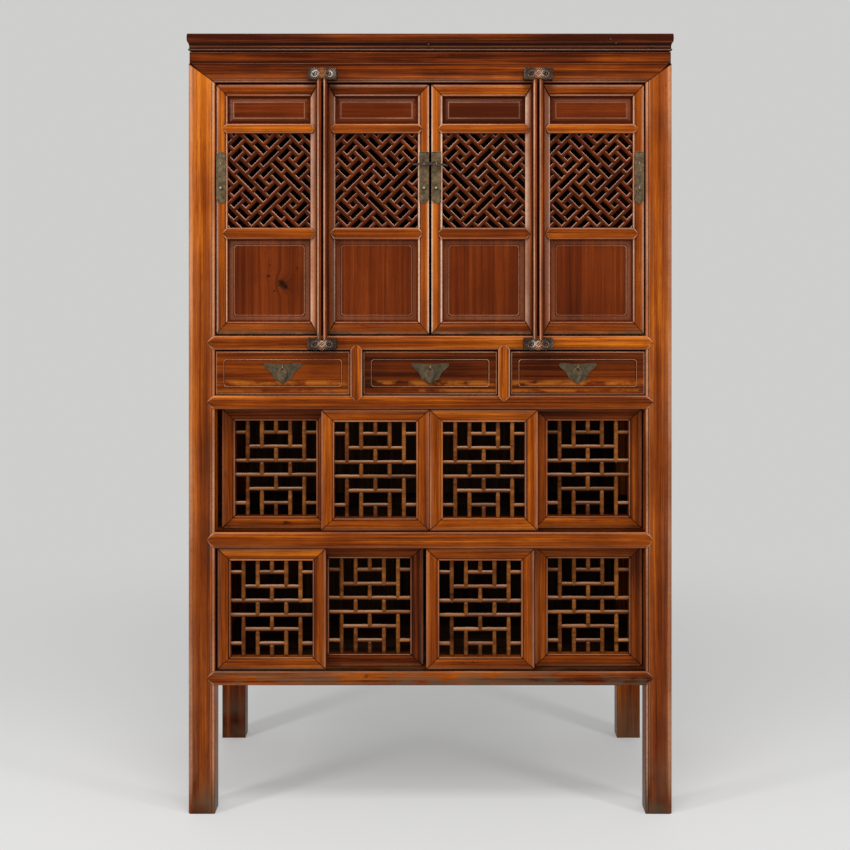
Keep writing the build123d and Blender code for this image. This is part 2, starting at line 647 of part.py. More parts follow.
# The hinge stile stands forward at its outer edge, where it is rounded into the pivot rod
ROD_AHEAD = LEAF_FRONT - ROD_Y
with BuildSketch() as hinge_section:
    Polygon(
        (0, -ROD_AHEAD), (0, LEAF_T), (HINGE_STILE, LEAF_T), (HINGE_STILE, LEAF_BULGE),
        (HINGE_STILE - LEAF_BEAD / 3, 0), (HINGE_STILE - 2 * LEAF_BEAD / 3, 0),
        (HINGE_STILE - LEAF_BEAD, LEAF_BULGE), (2 * ROD_R, LEAF_BULGE), (2 * ROD_R, -ROD_AHEAD), align=None,
    )
    with Locations((ROD_R, -ROD_AHEAD)):
        Circle(ROD_R)

MITRE_X = LEAF_X1 - 2 * ROD_R
free_stile = mitred(
    moulded_section(LEAF_STILE, LEAF_T, LEAF_BULGE, LEAF_BEAD),
    (LEAF_X, LEAF_FRONT, LEAF_Z), (1, 0, 0), (0, 0, 1), LEAF_H,
    [(LEAF_X, LEAF_Z), (OPEN_X0, LOW_PANEL_Z), (OPEN_X0, PANEL_TOP_Z), (LEAF_X, LEAF_TOP)],
)
hinge_stile = mitred(
    hinge_section.sketch, (LEAF_X1, LEAF_FRONT, LEAF_TOP), (-1, 0, 0), (0, 0, -1), LEAF_H,
    [(LEAF_X1, LEAF_Z), (LEAF_X1, LEAF_TOP), (MITRE_X, LEAF_TOP), (OPEN_X1, PANEL_TOP_Z),
     (OPEN_X1, LOW_PANEL_Z), (MITRE_X, LEAF_Z)],
)
with BuildPart() as rod_stile:
    add(hinge_stile)
    with BuildSketch(Plane.XY.offset(ROD_LOW_Z)):
        with Locations((ROD_X, ROD_Y)):
            Circle(ROD_R)
    extrude(amount=ROD_HIGH_Z - ROD_LOW_Z)
leaf_top_rail = mitred(
    moulded_section(LEAF_TOP_RAIL, LEAF_T, LEAF_BULGE, LEAF_BEAD),
    (LEAF_X, LEAF_FRONT, LEAF_TOP), (0, 0, -1), (1, 0, 0), LEAF_W,
    [(LEAF_X, LEAF_TOP), (OPEN_X0, PANEL_TOP_Z), (OPEN_X1, PANEL_TOP_Z), (MITRE_X, LEAF_TOP)],
)
leaf_low_rail = mitred(
    moulded_section(LEAF_LOW_RAIL, LEAF_T, LEAF_BULGE, LEAF_BEAD),
    (LEAF_X1, LEAF_FRONT, LEAF_Z), (0, 0, 1), (-1, 0, 0), LEAF_W,
    [(LEAF_X, LEAF_Z), (OPEN_X0, LOW_PANEL_Z), (OPEN_X1, LOW_PANEL_Z), (MITRE_X, LEAF_Z)],
)
leaf_bars = [pointed_bar(*bar, LEAF_T, BAR_POINT, BAR_BULGE, BAR_NOTCH) for bar in BARS]
leaf_stiles = [notched(free_stile), notched(rod_stile.part)]
leaf_frame = Compound(leaf_stiles + [leaf_top_rail, leaf_low_rail] + leaf_bars)

# The top panel has a raised field; the bottom panel a raised line near its edge
PANEL_FRONT = LEAF_FRONT + PANEL_SINK
with BuildPart() as top_infill:
    with BuildSketch(facing(OPEN_MID, PANEL_FRONT, TOP_PANEL_Z + LEAF_TOP_PANEL / 2)):
        Rectangle(LEAF_OPENING, LEAF_TOP_PANEL)
    extrude(amount=-PANEL_T)
    with BuildSketch(facing(OPEN_MID, PANEL_FRONT, TOP_PANEL_Z + LEAF_TOP_PANEL / 2)):
        Rectangle(LEAF_OPENING - FIELD_INSET, LEAF_TOP_PANEL - FIELD_INSET)
    extrude(amount=FIELD_RISE, taper=FIELD_SLOPE)


def lined_board(face, width, height, thickness, inset):
    """A flat front with a fine raised line that runs round it near its edge."""
    with BuildPart() as front:
        with BuildSketch(face):
            Rectangle(width, height)
        extrude(amount=-thickness)
        with BuildSketch(face):
            add(clipped_rectangle(width - 2 * inset, height - 2 * inset, 2 * RIDGE_W))
            add(
                clipped_rectangle(width - 2 * inset - 2 * RIDGE_W, height - 2 * inset - 2 * RIDGE_W, RIDGE_W),
                mode=Mode.SUBTRACT,
            )
        extrude(amount=RIDGE_H)
    return front.part


low_infill = lined_board(
    facing(OPEN_MID, PANEL_FRONT, LOW_PANEL_Z + LEAF_LOW_PANEL / 2), LEAF_OPENING, LEAF_LOW_PANEL, PANEL_T,
    RIDGE_INSET_LEAF,
)
leaf_panels = Compound([top_infill.part, low_infill])


def fret_sticks():
    """The diagonal fret, as (u, v, length, slant) in steps of the pitch.

    u runs down to the right and v up to the right. Pinwheels of four short sticks stand at every fourth
    step both ways and turn in alternate directions. Between each four of them a long narrow cell crosses,
    leaning alternately one way and the other.
    """
    reach = range(-3, 4)
    sticks = []
    for i in reach:
        for j in reach:
            turn = -1 if (i + j) % 2 else 1
            for side in (-1, 1):
                # a pinwheel: two sticks along v and two along u
                sticks.append((4 * i + side * 0.5, 4 * j - turn * side * 0.5, 2, 1))
                sticks.append((4 * i + turn * side * 0.5, 4 * j + side * 0.5, 2, -1))
                # the long cell's two sides and two end caps
                if turn > 0:
                    sticks.append((4 * i + 2, 4 * j + 2 + side * 0.5, 7, -1))
                    sticks.append((4 * i + 2 + side * 1.5, 4 * j + 2, 1, 1))
                else:
                    sticks.append((4 * i + 2 + side * 0.5, 4 * j + 2, 7, 1))
                    sticks.append((4 * i + 2, 4 * j + 2 + side * 1.5, 1, -1))
    return sticks


FRET_STEP = FRET_PITCH / sqrt(2)  # one step of the slanting pitch, measured across and up
with BuildPart() as fret:
    with BuildSketch(facing(OPEN_MID, LEAF_FRONT + FRET_SINK, LATTICE_Z + LEAF_LATTICE / 2)):
        for length in (2, 7, 1):
            spots = [
                Location((FRET_STEP * (u + v), FRET_STEP * (v - u), 0), (0, 0, 45 * slant))
                for u, v, steps, slant in fret_sticks() if steps == length
            ]
            with Locations(*spots):
                Rectangle(length * FRET_PITCH, FRET_W)
        Rectangle(LEAF_OPENING, LEAF_LATTICE, mode=Mode.INTERSECT)
    extrude(amount=-FRET_T)


def lock_plate(leaf_x, way, round_top, hung):
    """A brass plate on a leaf's free stile, with a staple over a stud, or over a second staple."""
    x = leaf_x + way * (LOCK_INSET + LOCK_W / 2)
    z = LEAF_Z + LOCK_Z
    with BuildPart() as plate:
        with BuildSketch(facing(x, LEAF_FRONT, z)):
            with Locations((0, LOCK_W / 2)):
                Circle(LOCK_W / 2)
            with Locations((0, LOCK_H / 2)):
                Rectangle(LOCK_W, LOCK_H - LOCK_W)
            with Locations((0, LOCK_H - LOCK_W / 2)):
                if round_top:
                    Circle(LOCK_W / 2)
                else:
                    Rectangle(LOCK_W, LOCK_W)
        extrude(amount=PLATE_T)
    eye = staple(facing(x, LEAF_FRONT - PLATE_T, z + LOCK_EYE))
    low = facing(x, LEAF_FRONT - PLATE_T, z + LOCK_STUD)
    if hung:
        return Compound([plate.part, eye, staple(low)]), pendant(low, LOCK_PENDANT_W, LOCK_PENDANT_H)
    with BuildPart() as stud:
        with BuildSketch(low):
            RegularPolygon(STUD_R, STUD_SIDES)
        extrude(amount=STUD_H, taper=STUD_TAPER)
    return Compound([plate.part, eye, stud.part]), None


# Leaves 1 and 3 have their free edge on the left, 2 and 4 are mirror images of 3 and 1
LEAF_3_SHIFT = CENTRE_GAP / 2 - LEAF_X
LEAF_SPOTS = {1: (0, False), 2: (LEAF_3_SHIFT, True), 3: (LEAF_3_SHIFT, False), 4: (0, True)}
for number, (shift, mirrored) in LEAF_SPOTS.items():
    for piece_name, piece in (("frame", leaf_frame), ("panels", leaf_panels), ("lattice", fret.part)):
        placed = piece.moved(Location((shift, 0, 0)))
        nodes[f"leaf_{number}_{piece_name}"] = mirror(placed, about=Plane.YZ) if mirrored else placed
    way = -1 if mirrored else 1
    plate, drop = lock_plate(way * (LEAF_X + shift), way, round_top=number == 1, hung=number == 4)
    nodes[f"leaf_{number}_lock_plate"] = plate
    if drop:
        nodes[f"leaf_{number}_pendant"] = drop

# Sliding doors: one is made here at the origin of its own frame, and eight copies are placed

SLIDER_X1 = SLIDER_W / 2
SLIDER_Z1 = SLIDER_H / 2
SLIDER_IN_X = SLIDER_OPENING / 2
SLIDER_IN_Z = SLIDER_LATTICE / 2
slider_stile_section = moulded_section(SLIDER_STILE, SLIDER_T, SLIDER_BULGE, SLIDER_BEAD)
slider_rail_section = moulded_section(SLIDER_RAIL, SLIDER_T, SLIDER_BULGE, SLIDER_BEAD)


def tongued(rail, tongue, way):
    """A sliding door's rail with the tongue that runs in its track."""
    with BuildPart() as member:
        add(rail)
        with BuildSketch(Plane.XY.offset(way * SLIDER_Z1)):
            with Locations((0, SLIDER_T / 2)):
                Rectangle(SLIDER_W, TONGUE_T)
        extrude(amount=way * tongue)
    return member.part


slider_corners = [(-SLIDER_X1, -SLIDER_Z1), (-SLIDER_IN_X, -SLIDER_IN_Z)]
slider_left = mitred(
    slider_stile_section, (-SLIDER_X1, 0, -SLIDER_Z1), (1, 0, 0), (0, 0, 1), SLIDER_H,
    slider_corners + [(-SLIDER_IN_X, SLIDER_IN_Z), (-SLIDER_X1, SLIDER_Z1)],
)
slider_low = mitred(
    slider_rail_section, (SLIDER_X1, 0, -SLIDER_Z1), (0, 0, 1), (-1, 0, 0), SLIDER_W,
    slider_corners + [(SLIDER_IN_X, -SLIDER_IN_Z), (SLIDER_X1, -SLIDER_Z1)],
)

# The lattice's sticks lie on the lines between cells. Each entry is a line, and the lines it runs between.
UPRIGHTS = [(3, 0, 1), (2, 0, 2), (1, 0, 3), (3, 2, 3), (2, 3, 4), (3, 4, 5), (1, 4, 7), (2, 5, 7), (3, 6, 7)]
CROSSES = [(1, 0, 1), (1, 2, 4), (2, 1, 5), (3, 0, 6), (4, 0, 6), (5, 1, 5), (6, 0, 1), (6, 2, 4)]


def line_x(number):
    """Middle of the upright line of this number, counted from the left edge of the opening."""
    return min(max(number * (CELL + STICK) - STICK / 2, 0), SLIDER_OPENING) - SLIDER_IN_X


def line_z(number):
    """Middle of the cross line of this number, counted from the top edge of the opening."""
    return SLIDER_IN_Z - min(max(number * (CELL + STICK) - STICK / 2, 0), SLIDER_LATTICE)


with BuildPart() as slider_lattice:
    with BuildSketch(facing(0, (SLIDER_T - STICK_T) / 2, 0)):
        for side in (-1, 1):
            for line, start, end in UPRIGHTS:
                with Locations((side * line_x(line), (line_z(start) + line_z(end)) / 2)):
                    Rectangle(STICK, line_z(start) - line_z(end))
            for line, start, end in CROSSES:
                with Locations((side * (line_x(start) + line_x(end)) / 2, line_z(line))):
                    Rectangle(line_x(end) - line_x(start), STICK)
    extrude(amount=-STICK_T)

slider = Compound([
    slider_left,
    mirror(slider_left, about=Plane.YZ),
    tongued(mirror(slider_low, about=Plane.XY), TONGUE_HIGH, 1),
    tongued(slider_low, TONGUE_LOW, -1),
    slider_lattice.part,
])

# Left edge and track of each sliding door at rest, from the left; track 0 is the front one
UPPER_DOORS = [
    (-INNER + OPEN_LEFT, 1), (-SLIDE_GAP - SLIDER_W, 0),
    (-SLIDE_GAP / 2, 0), (INNER - STOP_GAP - SLIDER_W, 1),
]
LOWER_LEFT = 5.2  # leftmost lower door to the post
LOWER_PAIR = 16.0  # second lower door's right edge left of the middle
LOWER_THIRD = 9.0  # third lower door's left edge left of the middle
LOWER_RIGHT = 3.3
LOWER_DOORS = [
    (-INNER + LOWER_LEFT, 0), (-LOWER_PAIR - SLIDER_W, 1),
    (-LOWER_THIRD, 0), (INNER - LOWER_RIGHT - SLIDER_W, 1),
]
for row, doors, opening_z in (("upper", UPPER_DOORS, UPPER_Z), ("lower", LOWER_DOORS, LOWER_Z)):
    for number, (left, track) in enumerate(doors, 1):
        spot = Location((left + SLIDER_X1, TRACK_Y[track], opening_z + SLIDE_GAP + SLIDER_Z1))
        nodes[f"{row}_sliding_door_{number}"] = slider.moved(spot)

# Drawers: a lined front, a box of four boards, a handle plate with a staple, and a pendant pull

DRAWER_LOW = DRAWER_Z + DRAWER_GAP_LOW
DRAWER_Y = FRONT + DRAWER_SETBACK
BOX_Y = (DRAWER_Y + DRAWER_FRONT_T, DRAWER_Y + DRAWER_L)
SIDE_TOP = DRAWER_LOW + DRAWER_SIDE_H


def drawer_box(x):
    """Two sides, a back and a bottom let in between them."""
    outer = (x - DRAWER_W / 2, x + DRAWER_W / 2)
    inner = (outer[0] + DRAWER_BOARD_T, outer[1] - DRAWER_BOARD_T)
    back_y = BOX_Y[1] - DRAWER_BOARD_T
    return Compound([
        board((outer[0], inner[0]), BOX_Y, (DRAWER_LOW, SIDE_TOP)),
        board((inner[1], outer[1]), BOX_Y, (DRAWER_LOW, SIDE_TOP)),
        board(inner, (back_y, BOX_Y[1]), (DRAWER_LOW, SIDE_TOP)),
        board(inner, (BOX_Y[0], back_y), (DRAWER_LOW + DRAWER_BOTTOM_T, DRAWER_LOW + 2 * DRAWER_BOTTOM_T)),
    ])


def handle(x, top_z):
    """A three-cornered brass plate, lobed near its foot, with its staple, and the pull that hangs on it."""
    half, foot = PULL_W / 2, PULL_H
    tip_top, tip_low = (0.85 * half, 0), (0.93 * half, -0.19 * foot)
    lobe_top, lobe_low = (0.5 * half, -0.68 * foot), (0.33 * half, -0.8 * foot)
    with BuildPart() as plate:
        with BuildSketch(facing(x, DRAWER_Y, top_z)):
            with BuildLine():
                Line((0, -0.03 * foot), tip_top)
                ThreePointArc(tip_top, (half, -0.07 * foot), tip_low)
                ThreePointArc(tip_low, (0.67 * half, -0.4 * foot), lobe_top)
                ThreePointArc(lobe_top, (0.45 * half, -0.79 * foot), lobe_low)
                ThreePointArc(lobe_low, (0.13 * half, -0.87 * foot), (0, -foot))
                mirror(about=Plane.YZ)
            make_face()
        extrude(amount=PLATE_T)
    eye_face = facing(x, DRAWER_Y - PLATE_T, top_z - EYE_DROP)
    return Compound([plate.part, staple(eye_face)]), pendant(eye_face, PENDANT_W, PENDANT_H)


DRAWER_X = DRAWER_OPENING + DIVIDER_W
for name, x in (("left", -DRAWER_X), ("middle", 0), ("right", DRAWER_X)):
    nodes[f"drawer_{name}_front"] = lined_board(
        facing(x, DRAWER_Y, DRAWER_LOW + DRAWER_H / 2), DRAWER_W, DRAWER_H, DRAWER_FRONT_T, RIDGE_INSET
    )
    nodes[f"drawer_{name}_box"] = drawer_box(x)
    plate, drop = handle(x, DRAWER_LOW + DRAWER_H - PULL_DROP)
    nodes[f"drawer_{name}_handle_plate"] = plate
    nodes[f"drawer_{name}_pull"] = drop

# One STEP file for each node

os.makedirs("parts", exist_ok=True)
for name, shape in nodes.items():
    shape.label = name
    export_step(shape, f"parts/{name}.step")
print(len(nodes), "nodes")
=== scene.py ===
"""A tall Chinese book cabinet in red-brown lacquered wood, dressed over its CAD frame.

The front faces -Y. Blender works in metres; the shapes below are set out in millimetres.
"""

import math
import random

import bpy
import numpy as np
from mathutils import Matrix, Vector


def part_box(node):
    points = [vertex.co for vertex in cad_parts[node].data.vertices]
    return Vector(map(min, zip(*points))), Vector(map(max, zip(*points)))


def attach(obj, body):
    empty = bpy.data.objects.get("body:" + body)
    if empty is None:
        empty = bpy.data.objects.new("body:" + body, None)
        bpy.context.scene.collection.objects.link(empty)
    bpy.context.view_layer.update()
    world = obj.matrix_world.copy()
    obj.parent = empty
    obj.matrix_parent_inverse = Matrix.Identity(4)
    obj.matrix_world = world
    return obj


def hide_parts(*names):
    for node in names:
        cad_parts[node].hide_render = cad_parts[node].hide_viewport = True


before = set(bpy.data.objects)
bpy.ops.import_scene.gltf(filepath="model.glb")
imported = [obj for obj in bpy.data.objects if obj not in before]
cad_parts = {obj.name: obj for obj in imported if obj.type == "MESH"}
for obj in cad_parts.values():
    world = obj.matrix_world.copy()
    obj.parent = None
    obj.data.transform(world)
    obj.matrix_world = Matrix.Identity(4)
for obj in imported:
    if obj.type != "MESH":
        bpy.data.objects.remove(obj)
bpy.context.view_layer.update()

# Corner posts. Four posts run from the floor to the frieze. The front two have a round outer edge and a
# bead on the inner one, and are mitred to the top rail. The lacquer is thin: the grain shows through it.
# Edges are pale, partly rubbed and partly a painted highlight, and the quirks are dark with dirt and
# painted shade.

ALONG_X, ALONG_Y, UPRIGHT = (1, 0, 0), (0, 1, 0), (0, 0, 1)
FACING = (ALONG_X, UPRIGHT, ALONG_Y)  # across, up and inwards, for what is set out on the front
RING_STEP = 24
# The worn colour also serves as a painted highlight, and the grime colour also as painted shade in quirks and
# under edges.
DUST, PALE_WEAR_AND_SHEEN, GRIME_AND_SHADE = (0.115, 0.075, 0.042), (0.60, 0.31, 0.175), (0.010, 0.0025, 0.001)
RED_BROWN = [(0.05, (0.036, 0.0055, 0.0010)), (0.34, (0.125, 0.0205, 0.0018)), (0.62, (0.27, 0.053, 0.0030)),
             (0.95, (0.56, 0.150, 0.0090))]


def limits(node):
    """Lowest and highest corners of a CAD node, in millimetres."""
    low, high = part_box(node)
    return np.array(low) * 1000, np.array(high) * 1000


class Tree:
    """A node tree in the making, with short names for the nodes that it uses."""

    def __init__(self, tree):
        self.tree = tree

    def fill(self, socket, value):
        if isinstance(value, bpy.types.NodeSocket):
            self.tree.links.new(value, socket)
        else:
            socket.default_value = value

    def add(self, kind, inputs=(), **settings):
        node = self.tree.nodes.new(kind)
        for key, value in settings.items():
            setattr(node, key, value)
        for key, value in dict(inputs).items():
            self.fill(node.inputs[key], value)
        return node

    def put(self, kind, inputs=(), output=0, **settings):
        return self.add(kind, inputs, **settings).outputs[output]

    def maths(self, operation, a, b=0.0, clamp=False):
        return self.put("ShaderNodeMath", {0: a, 1: b}, operation=operation, use_clamp=clamp)

    def times(self, a, b, clamp=False):
        return self.maths("MULTIPLY", a, b, clamp)

    def plus(self, a, b):
        return self.maths("ADD", a, b)

    def minus(self, a, b, clamp=False):
        return self.maths("SUBTRACT", a, b, clamp)

    def vector(self, operation, a, b=(0, 0, 0), output=0):
        return self.put("ShaderNodeVectorMath", {0: a, 1: b}, output, operation=operation)

    def noise(self, vector, scale=1.0, detail=2.0, roughness=0.5, distortion=0.0):
        inputs = {"Vector": vector, "Scale": scale, "Detail": detail, "Roughness": roughness,
                  "Distortion": distortion}
        return self.put("ShaderNodeTexNoise", inputs)


class Finish(Tree):
    """A material in the making."""

    def __init__(self, name):
        self.material = bpy.data.materials.new(name)
        self.material.use_nodes = True
        super().__init__(self.material.node_tree)
        self.surface = self.tree.nodes["Principled BSDF"]

    def carried(self, name, output="Fac"):
        return self.put("ShaderNodeAttribute", (), output, attribute_name=name)

    def placed(self):
        return self.put("ShaderNodeTexCoord", (), "Object")

    def scaled(self, vector, scale, shift):
        return self.put("ShaderNodeMapping", {"Vector": vector, "Scale": scale, "Location": shift})

    def spread(self, value, low, high, to_low=0.0, to_high=1.0):
        inputs = {"Value": value, "From Min": low, "From Max": high, "To Min": to_low, "To Max": to_high}
        return self.put("ShaderNodeMapRange", inputs, interpolation_type="SMOOTHSTEP")

    def ramp(self, value, stops):
        node = self.add("ShaderNodeValToRGB", {"Fac": value})
        while len(node.color_ramp.elements) < len(stops):
            node.color_ramp.elements.new(0.5)
        for element, (position, colour) in zip(node.color_ramp.elements, stops):
            element.position = position
            element.color = (*colour, 1)
        return node.outputs[0]

    def mixed(self, factor, a, b):
        a, b = ((*colour, 1) if isinstance(colour, tuple) else colour for colour in (a, b))
        return self.put("ShaderNodeMix", {0: factor, 6: a, 7: b}, 2, data_type="RGBA")

    def bumped(self, height, strength, distance, **over):
        inputs = {"Height": height, "Strength": strength, "Distance": distance, **over}
        return self.put("ShaderNodeBump", inputs)

    def shade(self, **inputs):
        for key, value in inputs.items():
            self.fill(self.surface.inputs[key.replace("_", " ")], value)
        return self.material


def wood(name, stops=RED_BROWN, worn_and_sheen=PALE_WEAR_AND_SHEEN, grimy_and_shaded=GRIME_AND_SHADE, gloss=0.27, knots=(), marks=(), streaks=1.0):
    """Streaked wood that follows its own grain. It is pale where its carried wear value is high, from rubbing
    and painted highlight, and black where that value is low, from dirt and painted shade.

    Each knot is (x, z, size) on the front, and each mark a band of (height, reach, colour), in metres. Dust
    lies at the feet.
    """
    f = Finish(name)
    grain, wear_and_light, tone = f.carried("grain", "Vector"), f.carried("wear_and_light"), f.carried("tone")
    dark = None
    for x, z, size in knots:
        away = f.scaled(f.placed(), (1 / size, 0, 1 / size), (-x / size, 0, -z / size))
        away = f.vector("LENGTH", away, output="Value")
        bow = f.put("ShaderNodeCombineXYZ", {"Y": f.times(f.spread(away, 4.5, 0.2), 1.3 * size)})
        grain = f.vector("ADD", grain, bow)
        ragged = f.plus(away, f.spread(f.noise(grain, 300), 0.3, 0.7, -0.35, 0.35))
        heart = f.spread(ragged, 1.7, 0.4)
        dark = heart if dark is None else f.maths("MAXIMUM", dark, heart)

    def streaked(thinness, shift=(0, 0, 0), **more):
        return f.noise(f.scaled(grain, thinness, shift), **more)

    broad = streaked((0.9, 21, 21), distortion=0.4)
    figure = streaked((1.7, 105, 105), detail=4, roughness=0.62, distortion=0.5)
    lines = streaked((6, 420, 420), detail=3, roughness=0.65)
    pores = streaked((38, 1600, 1600), detail=1)
    blots = streaked((13, 30, 30), (3, 1, 2), detail=4, roughness=0.62)
    cloud = f.noise(grain, 6.5, 3, 0.55)
    depth = f.times(figure, 1.15 * streaks)
    for part, share in ((lines, 0.5 * streaks), (broad, 0.75), (cloud, 0.5), (tone, 0.7)):
        depth = f.plus(depth, f.times(part, share))
    colour = f.ramp(f.minus(depth, 0.515 + 0.825 * streaks, clamp=True), stops)
    colour = f.mixed(f.spread(pores, 0.44, 0.3, 0, 0.5), colour, stops[0][1])
    colour = f.mixed(f.spread(blots, 0.34, 0.25, 0, 0.8), colour, grimy_and_shaded)
    patchy = f.times(f.spread(f.noise(grain, 4.5), 0.36, 0.6, 0.5, 1),
                     f.spread(f.noise(grain, 110, 3, 0.7), 0.3, 0.6, 0.72, 1))
    # Pale where the carried value is positive: rubbed lacquer, and painted highlight on edges and beads.
    colour = f.mixed(f.times(f.times(wear_and_light, patchy), 0.95, clamp=True), colour, worn_and_sheen)
    # Black where it is negative: dirt, and painted shade in quirks and along the foot of edges.
    dirt_and_shade = f.times(f.times(wear_and_light, -1), f.spread(cloud, 0.3, 0.7, 0.75, 1.2))
    colour = f.mixed(f.spread(dirt_and_shade, 0.05, 0.9, 0, 0.94), colour, grimy_and_shaded)
    if dark:
        colour = f.mixed(f.times(dark, 0.93), colour, grimy_and_shaded)
    height = f.put("ShaderNodeSeparateXYZ", {0: f.placed()}, "Z")
    colour = f.mixed(f.times(f.spread(height, 0.16, 0.0, 0, 0.75), f.spread(cloud, 0.35, 0.6)), colour, DUST)
    for level, reach, other in marks:
        close = f.spread(f.maths("ABSOLUTE", f.minus(height, level)), reach, 0)
        close = f.times(close, f.spread(figure, 0.3, 0.62, 0.55, 1))
        colour = f.mixed(f.times(close, f.spread(blots, 0.43, 0.58, 0, 0.9)), colour, other)
    rough = f.plus(f.spread(cloud, 0.3, 0.7, gloss - 0.06, gloss + 0.08), f.times(lines, 0.08))
    waves = f.bumped(streaked((7, 40, 40)), 0.25, 0.0014)
    normal = f.bumped(f.plus(lines, f.times(pores, 0.6)), 0.2, 0.0005, Normal=waves)
    return f.shade(Base_Color=colour, Roughness=rough, Normal=normal, Specular_IOR_Level=0.06)


LACQUER = wood("red_brown_lacquer")


class Workpiece:
    """One piece in the making: closed forms, with each point's place in the wood's grain and its wear and
    painted light.
    """

    def __init__(self, name):
        self.name = name
        self.chance = random.Random(name)
        self.points, self.faces = [], []
        self.carried = {"grain": [], "wear_and_light": [], "tone": []}

    def form(self, origin, ways, rings, wear_and_light=0.0, tone=None):
        """Closes a form through rings of (along, across, deep) points. The grain runs the first way."""
        rings = np.asarray(rings, float)
        count, around = rings.shape[:2]
        local = rings.reshape(-1, 3)
        points = np.asarray(origin, float) + local @ np.asarray(ways, float)
        faces = [
            (r * around + k, r * around + (k + 1) % around,
             (r + 1) * around + (k + 1) % around, (r + 1) * around + k)
            for r in range(count - 1) for k in range(around)
        ]
        faces += [tuple(reversed(range(around))), tuple(range((count - 1) * around, count * around))]
        volume = 0.0
        for face in faces:
            corners = points[list(face)] - points[0]
            volume += np.sum(np.cross(corners[1:-1], corners[2:]) @ corners[0])
        first = sum(len(p) for p in self.points)
        turn = -1 if volume < 0 else 1
        self.faces += [tuple(first + k for k in face[::turn]) for face in faces]
        self.points.append(points)
        place = np.array([self.chance.uniform(0, 8) for _ in range(3)])
        self.carried["grain"].append(local * 0.001 + place)
        self.carried["wear_and_light"].append(np.broadcast_to(np.asarray(wear_and_light, float), (count, around)).reshape(-1))
        tone = self.chance.uniform(0.25, 0.75) if tone is None else tone
        self.carried["tone"].append(np.full(len(local), tone))

    def layers(self, middle, ways, profile, tone=None):
        """Closes a form through layers of (outline, deep, wear and painted light), where that value may differ
        from point to point.
        """
        rings = [[(a, b, deep) for a, b in outline] for outline, deep, _ in profile]
        wear_and_light = [np.broadcast_to(worn_and_sheen, len(outline)) for outline, _, worn_and_sheen in profile]
        self.form(middle, ways, rings, wear_and_light, tone)

    def board(self, corner, other, way=0, ease=1.2, tone=None):
        """A board between two corners, with eased edges. The grain runs along axis number way."""
        low, size = np.minimum(corner, other), np.abs(np.subtract(other, corner))
        side, deep = (way + 1) % 3, (way + 2) % 3
        a, b = size[side], size[deep]
        e = min(ease, a / 4, b / 4)
        outline = [(e, 0), (a - e, 0), (a, e), (a, b - e), (a - e, b), (e, b), (0, b - e), (0, e)]
        middle = np.array([a / 2, b / 2])
        shrunk = [tuple(middle + (np.array(p) - middle) * (1 - 2 * e / max(a, b))) for p in outline]
        steps = [e + (size[way] - 2 * e) * s for s in np.linspace(0, 1, 3 + int(size[way] / 150))]
        rings = [[(0, *p) for p in shrunk]] + [[(s, *p) for p in outline] for s in steps]
        rings += [[(size[way], *p) for p in shrunk]]
        self.form(low, np.eye(3)[[way, side, deep]], rings, tone=tone)

    def boards(self, corner, other, split, count, way=0, ease=1.2, tone=None):
        """A row of boards between two corners, side by side along axis number split."""
        edges = np.linspace(corner[split], other[split], count + 1)
        for start, stop in zip(edges, edges[1:]):
            first, last = list(corner), list(other)
            first[split], last[split] = start, stop
            self.board(first, last, way, ease, tone)

    def done(self, material, *nodes, body="carcass", slot="lacquered_wood"):
        """Makes the mesh; the piece rides on its body, and the CAD nodes named are hidden."""
        mesh = bpy.data.meshes.new(self.name)
        mesh.from_pydata((np.concatenate(self.points) * 0.001).tolist(), [], self.faces)
        for name, values in self.carried.items():
            kind, field = ("FLOAT_VECTOR", "vector") if name == "grain" else ("FLOAT", "value")
            layer = mesh.attributes.new(name, kind, "POINT")
            layer.data.foreach_set(field, np.concatenate(values).astype(np.float32).ravel())
        mesh.shade_smooth()
        mesh.set_sharp_from_angle(angle=math.radians(38))
        mesh.materials.append(material)
        piece = bpy.data.objects.new(self.name, mesh)
        bpy.context.scene.collection.objects.link(piece)
        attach(piece, body)
        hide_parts(*nodes)


def arc(middle, radius, start, stop, count):
    """Points on an arc, from one angle to another in degrees."""
    angles = np.radians(np.linspace(start, stop, count))
    return [(middle[0] + radius * math.cos(a), middle[1] + radius * math.sin(a)) for a in angles]


def bead(start, stop, low, crest, wear_and_light):
    """Points of a half-round bead between two places across a member, dark at its foot with dirt and painted
    shade.
    """
    return [
        (start + (stop - start) * (1 - math.cos(t)) / 2, low - (low - crest) * math.sin(t),
         -0.7 + (0.7 + wear_and_light) * math.sin(t) ** 0.6) for t in np.linspace(0, math.pi, 7)
    ]


def uneven(chance, along, size):
    """The slow unevenness that a hand plane leaves along a member, from 0 to size."""
    waves = [np.sin(along / run + chance.uniform(0, 6.3)) for run in (29, 53, 97)]
    return size * (0.5 + sum(waves) / 6)


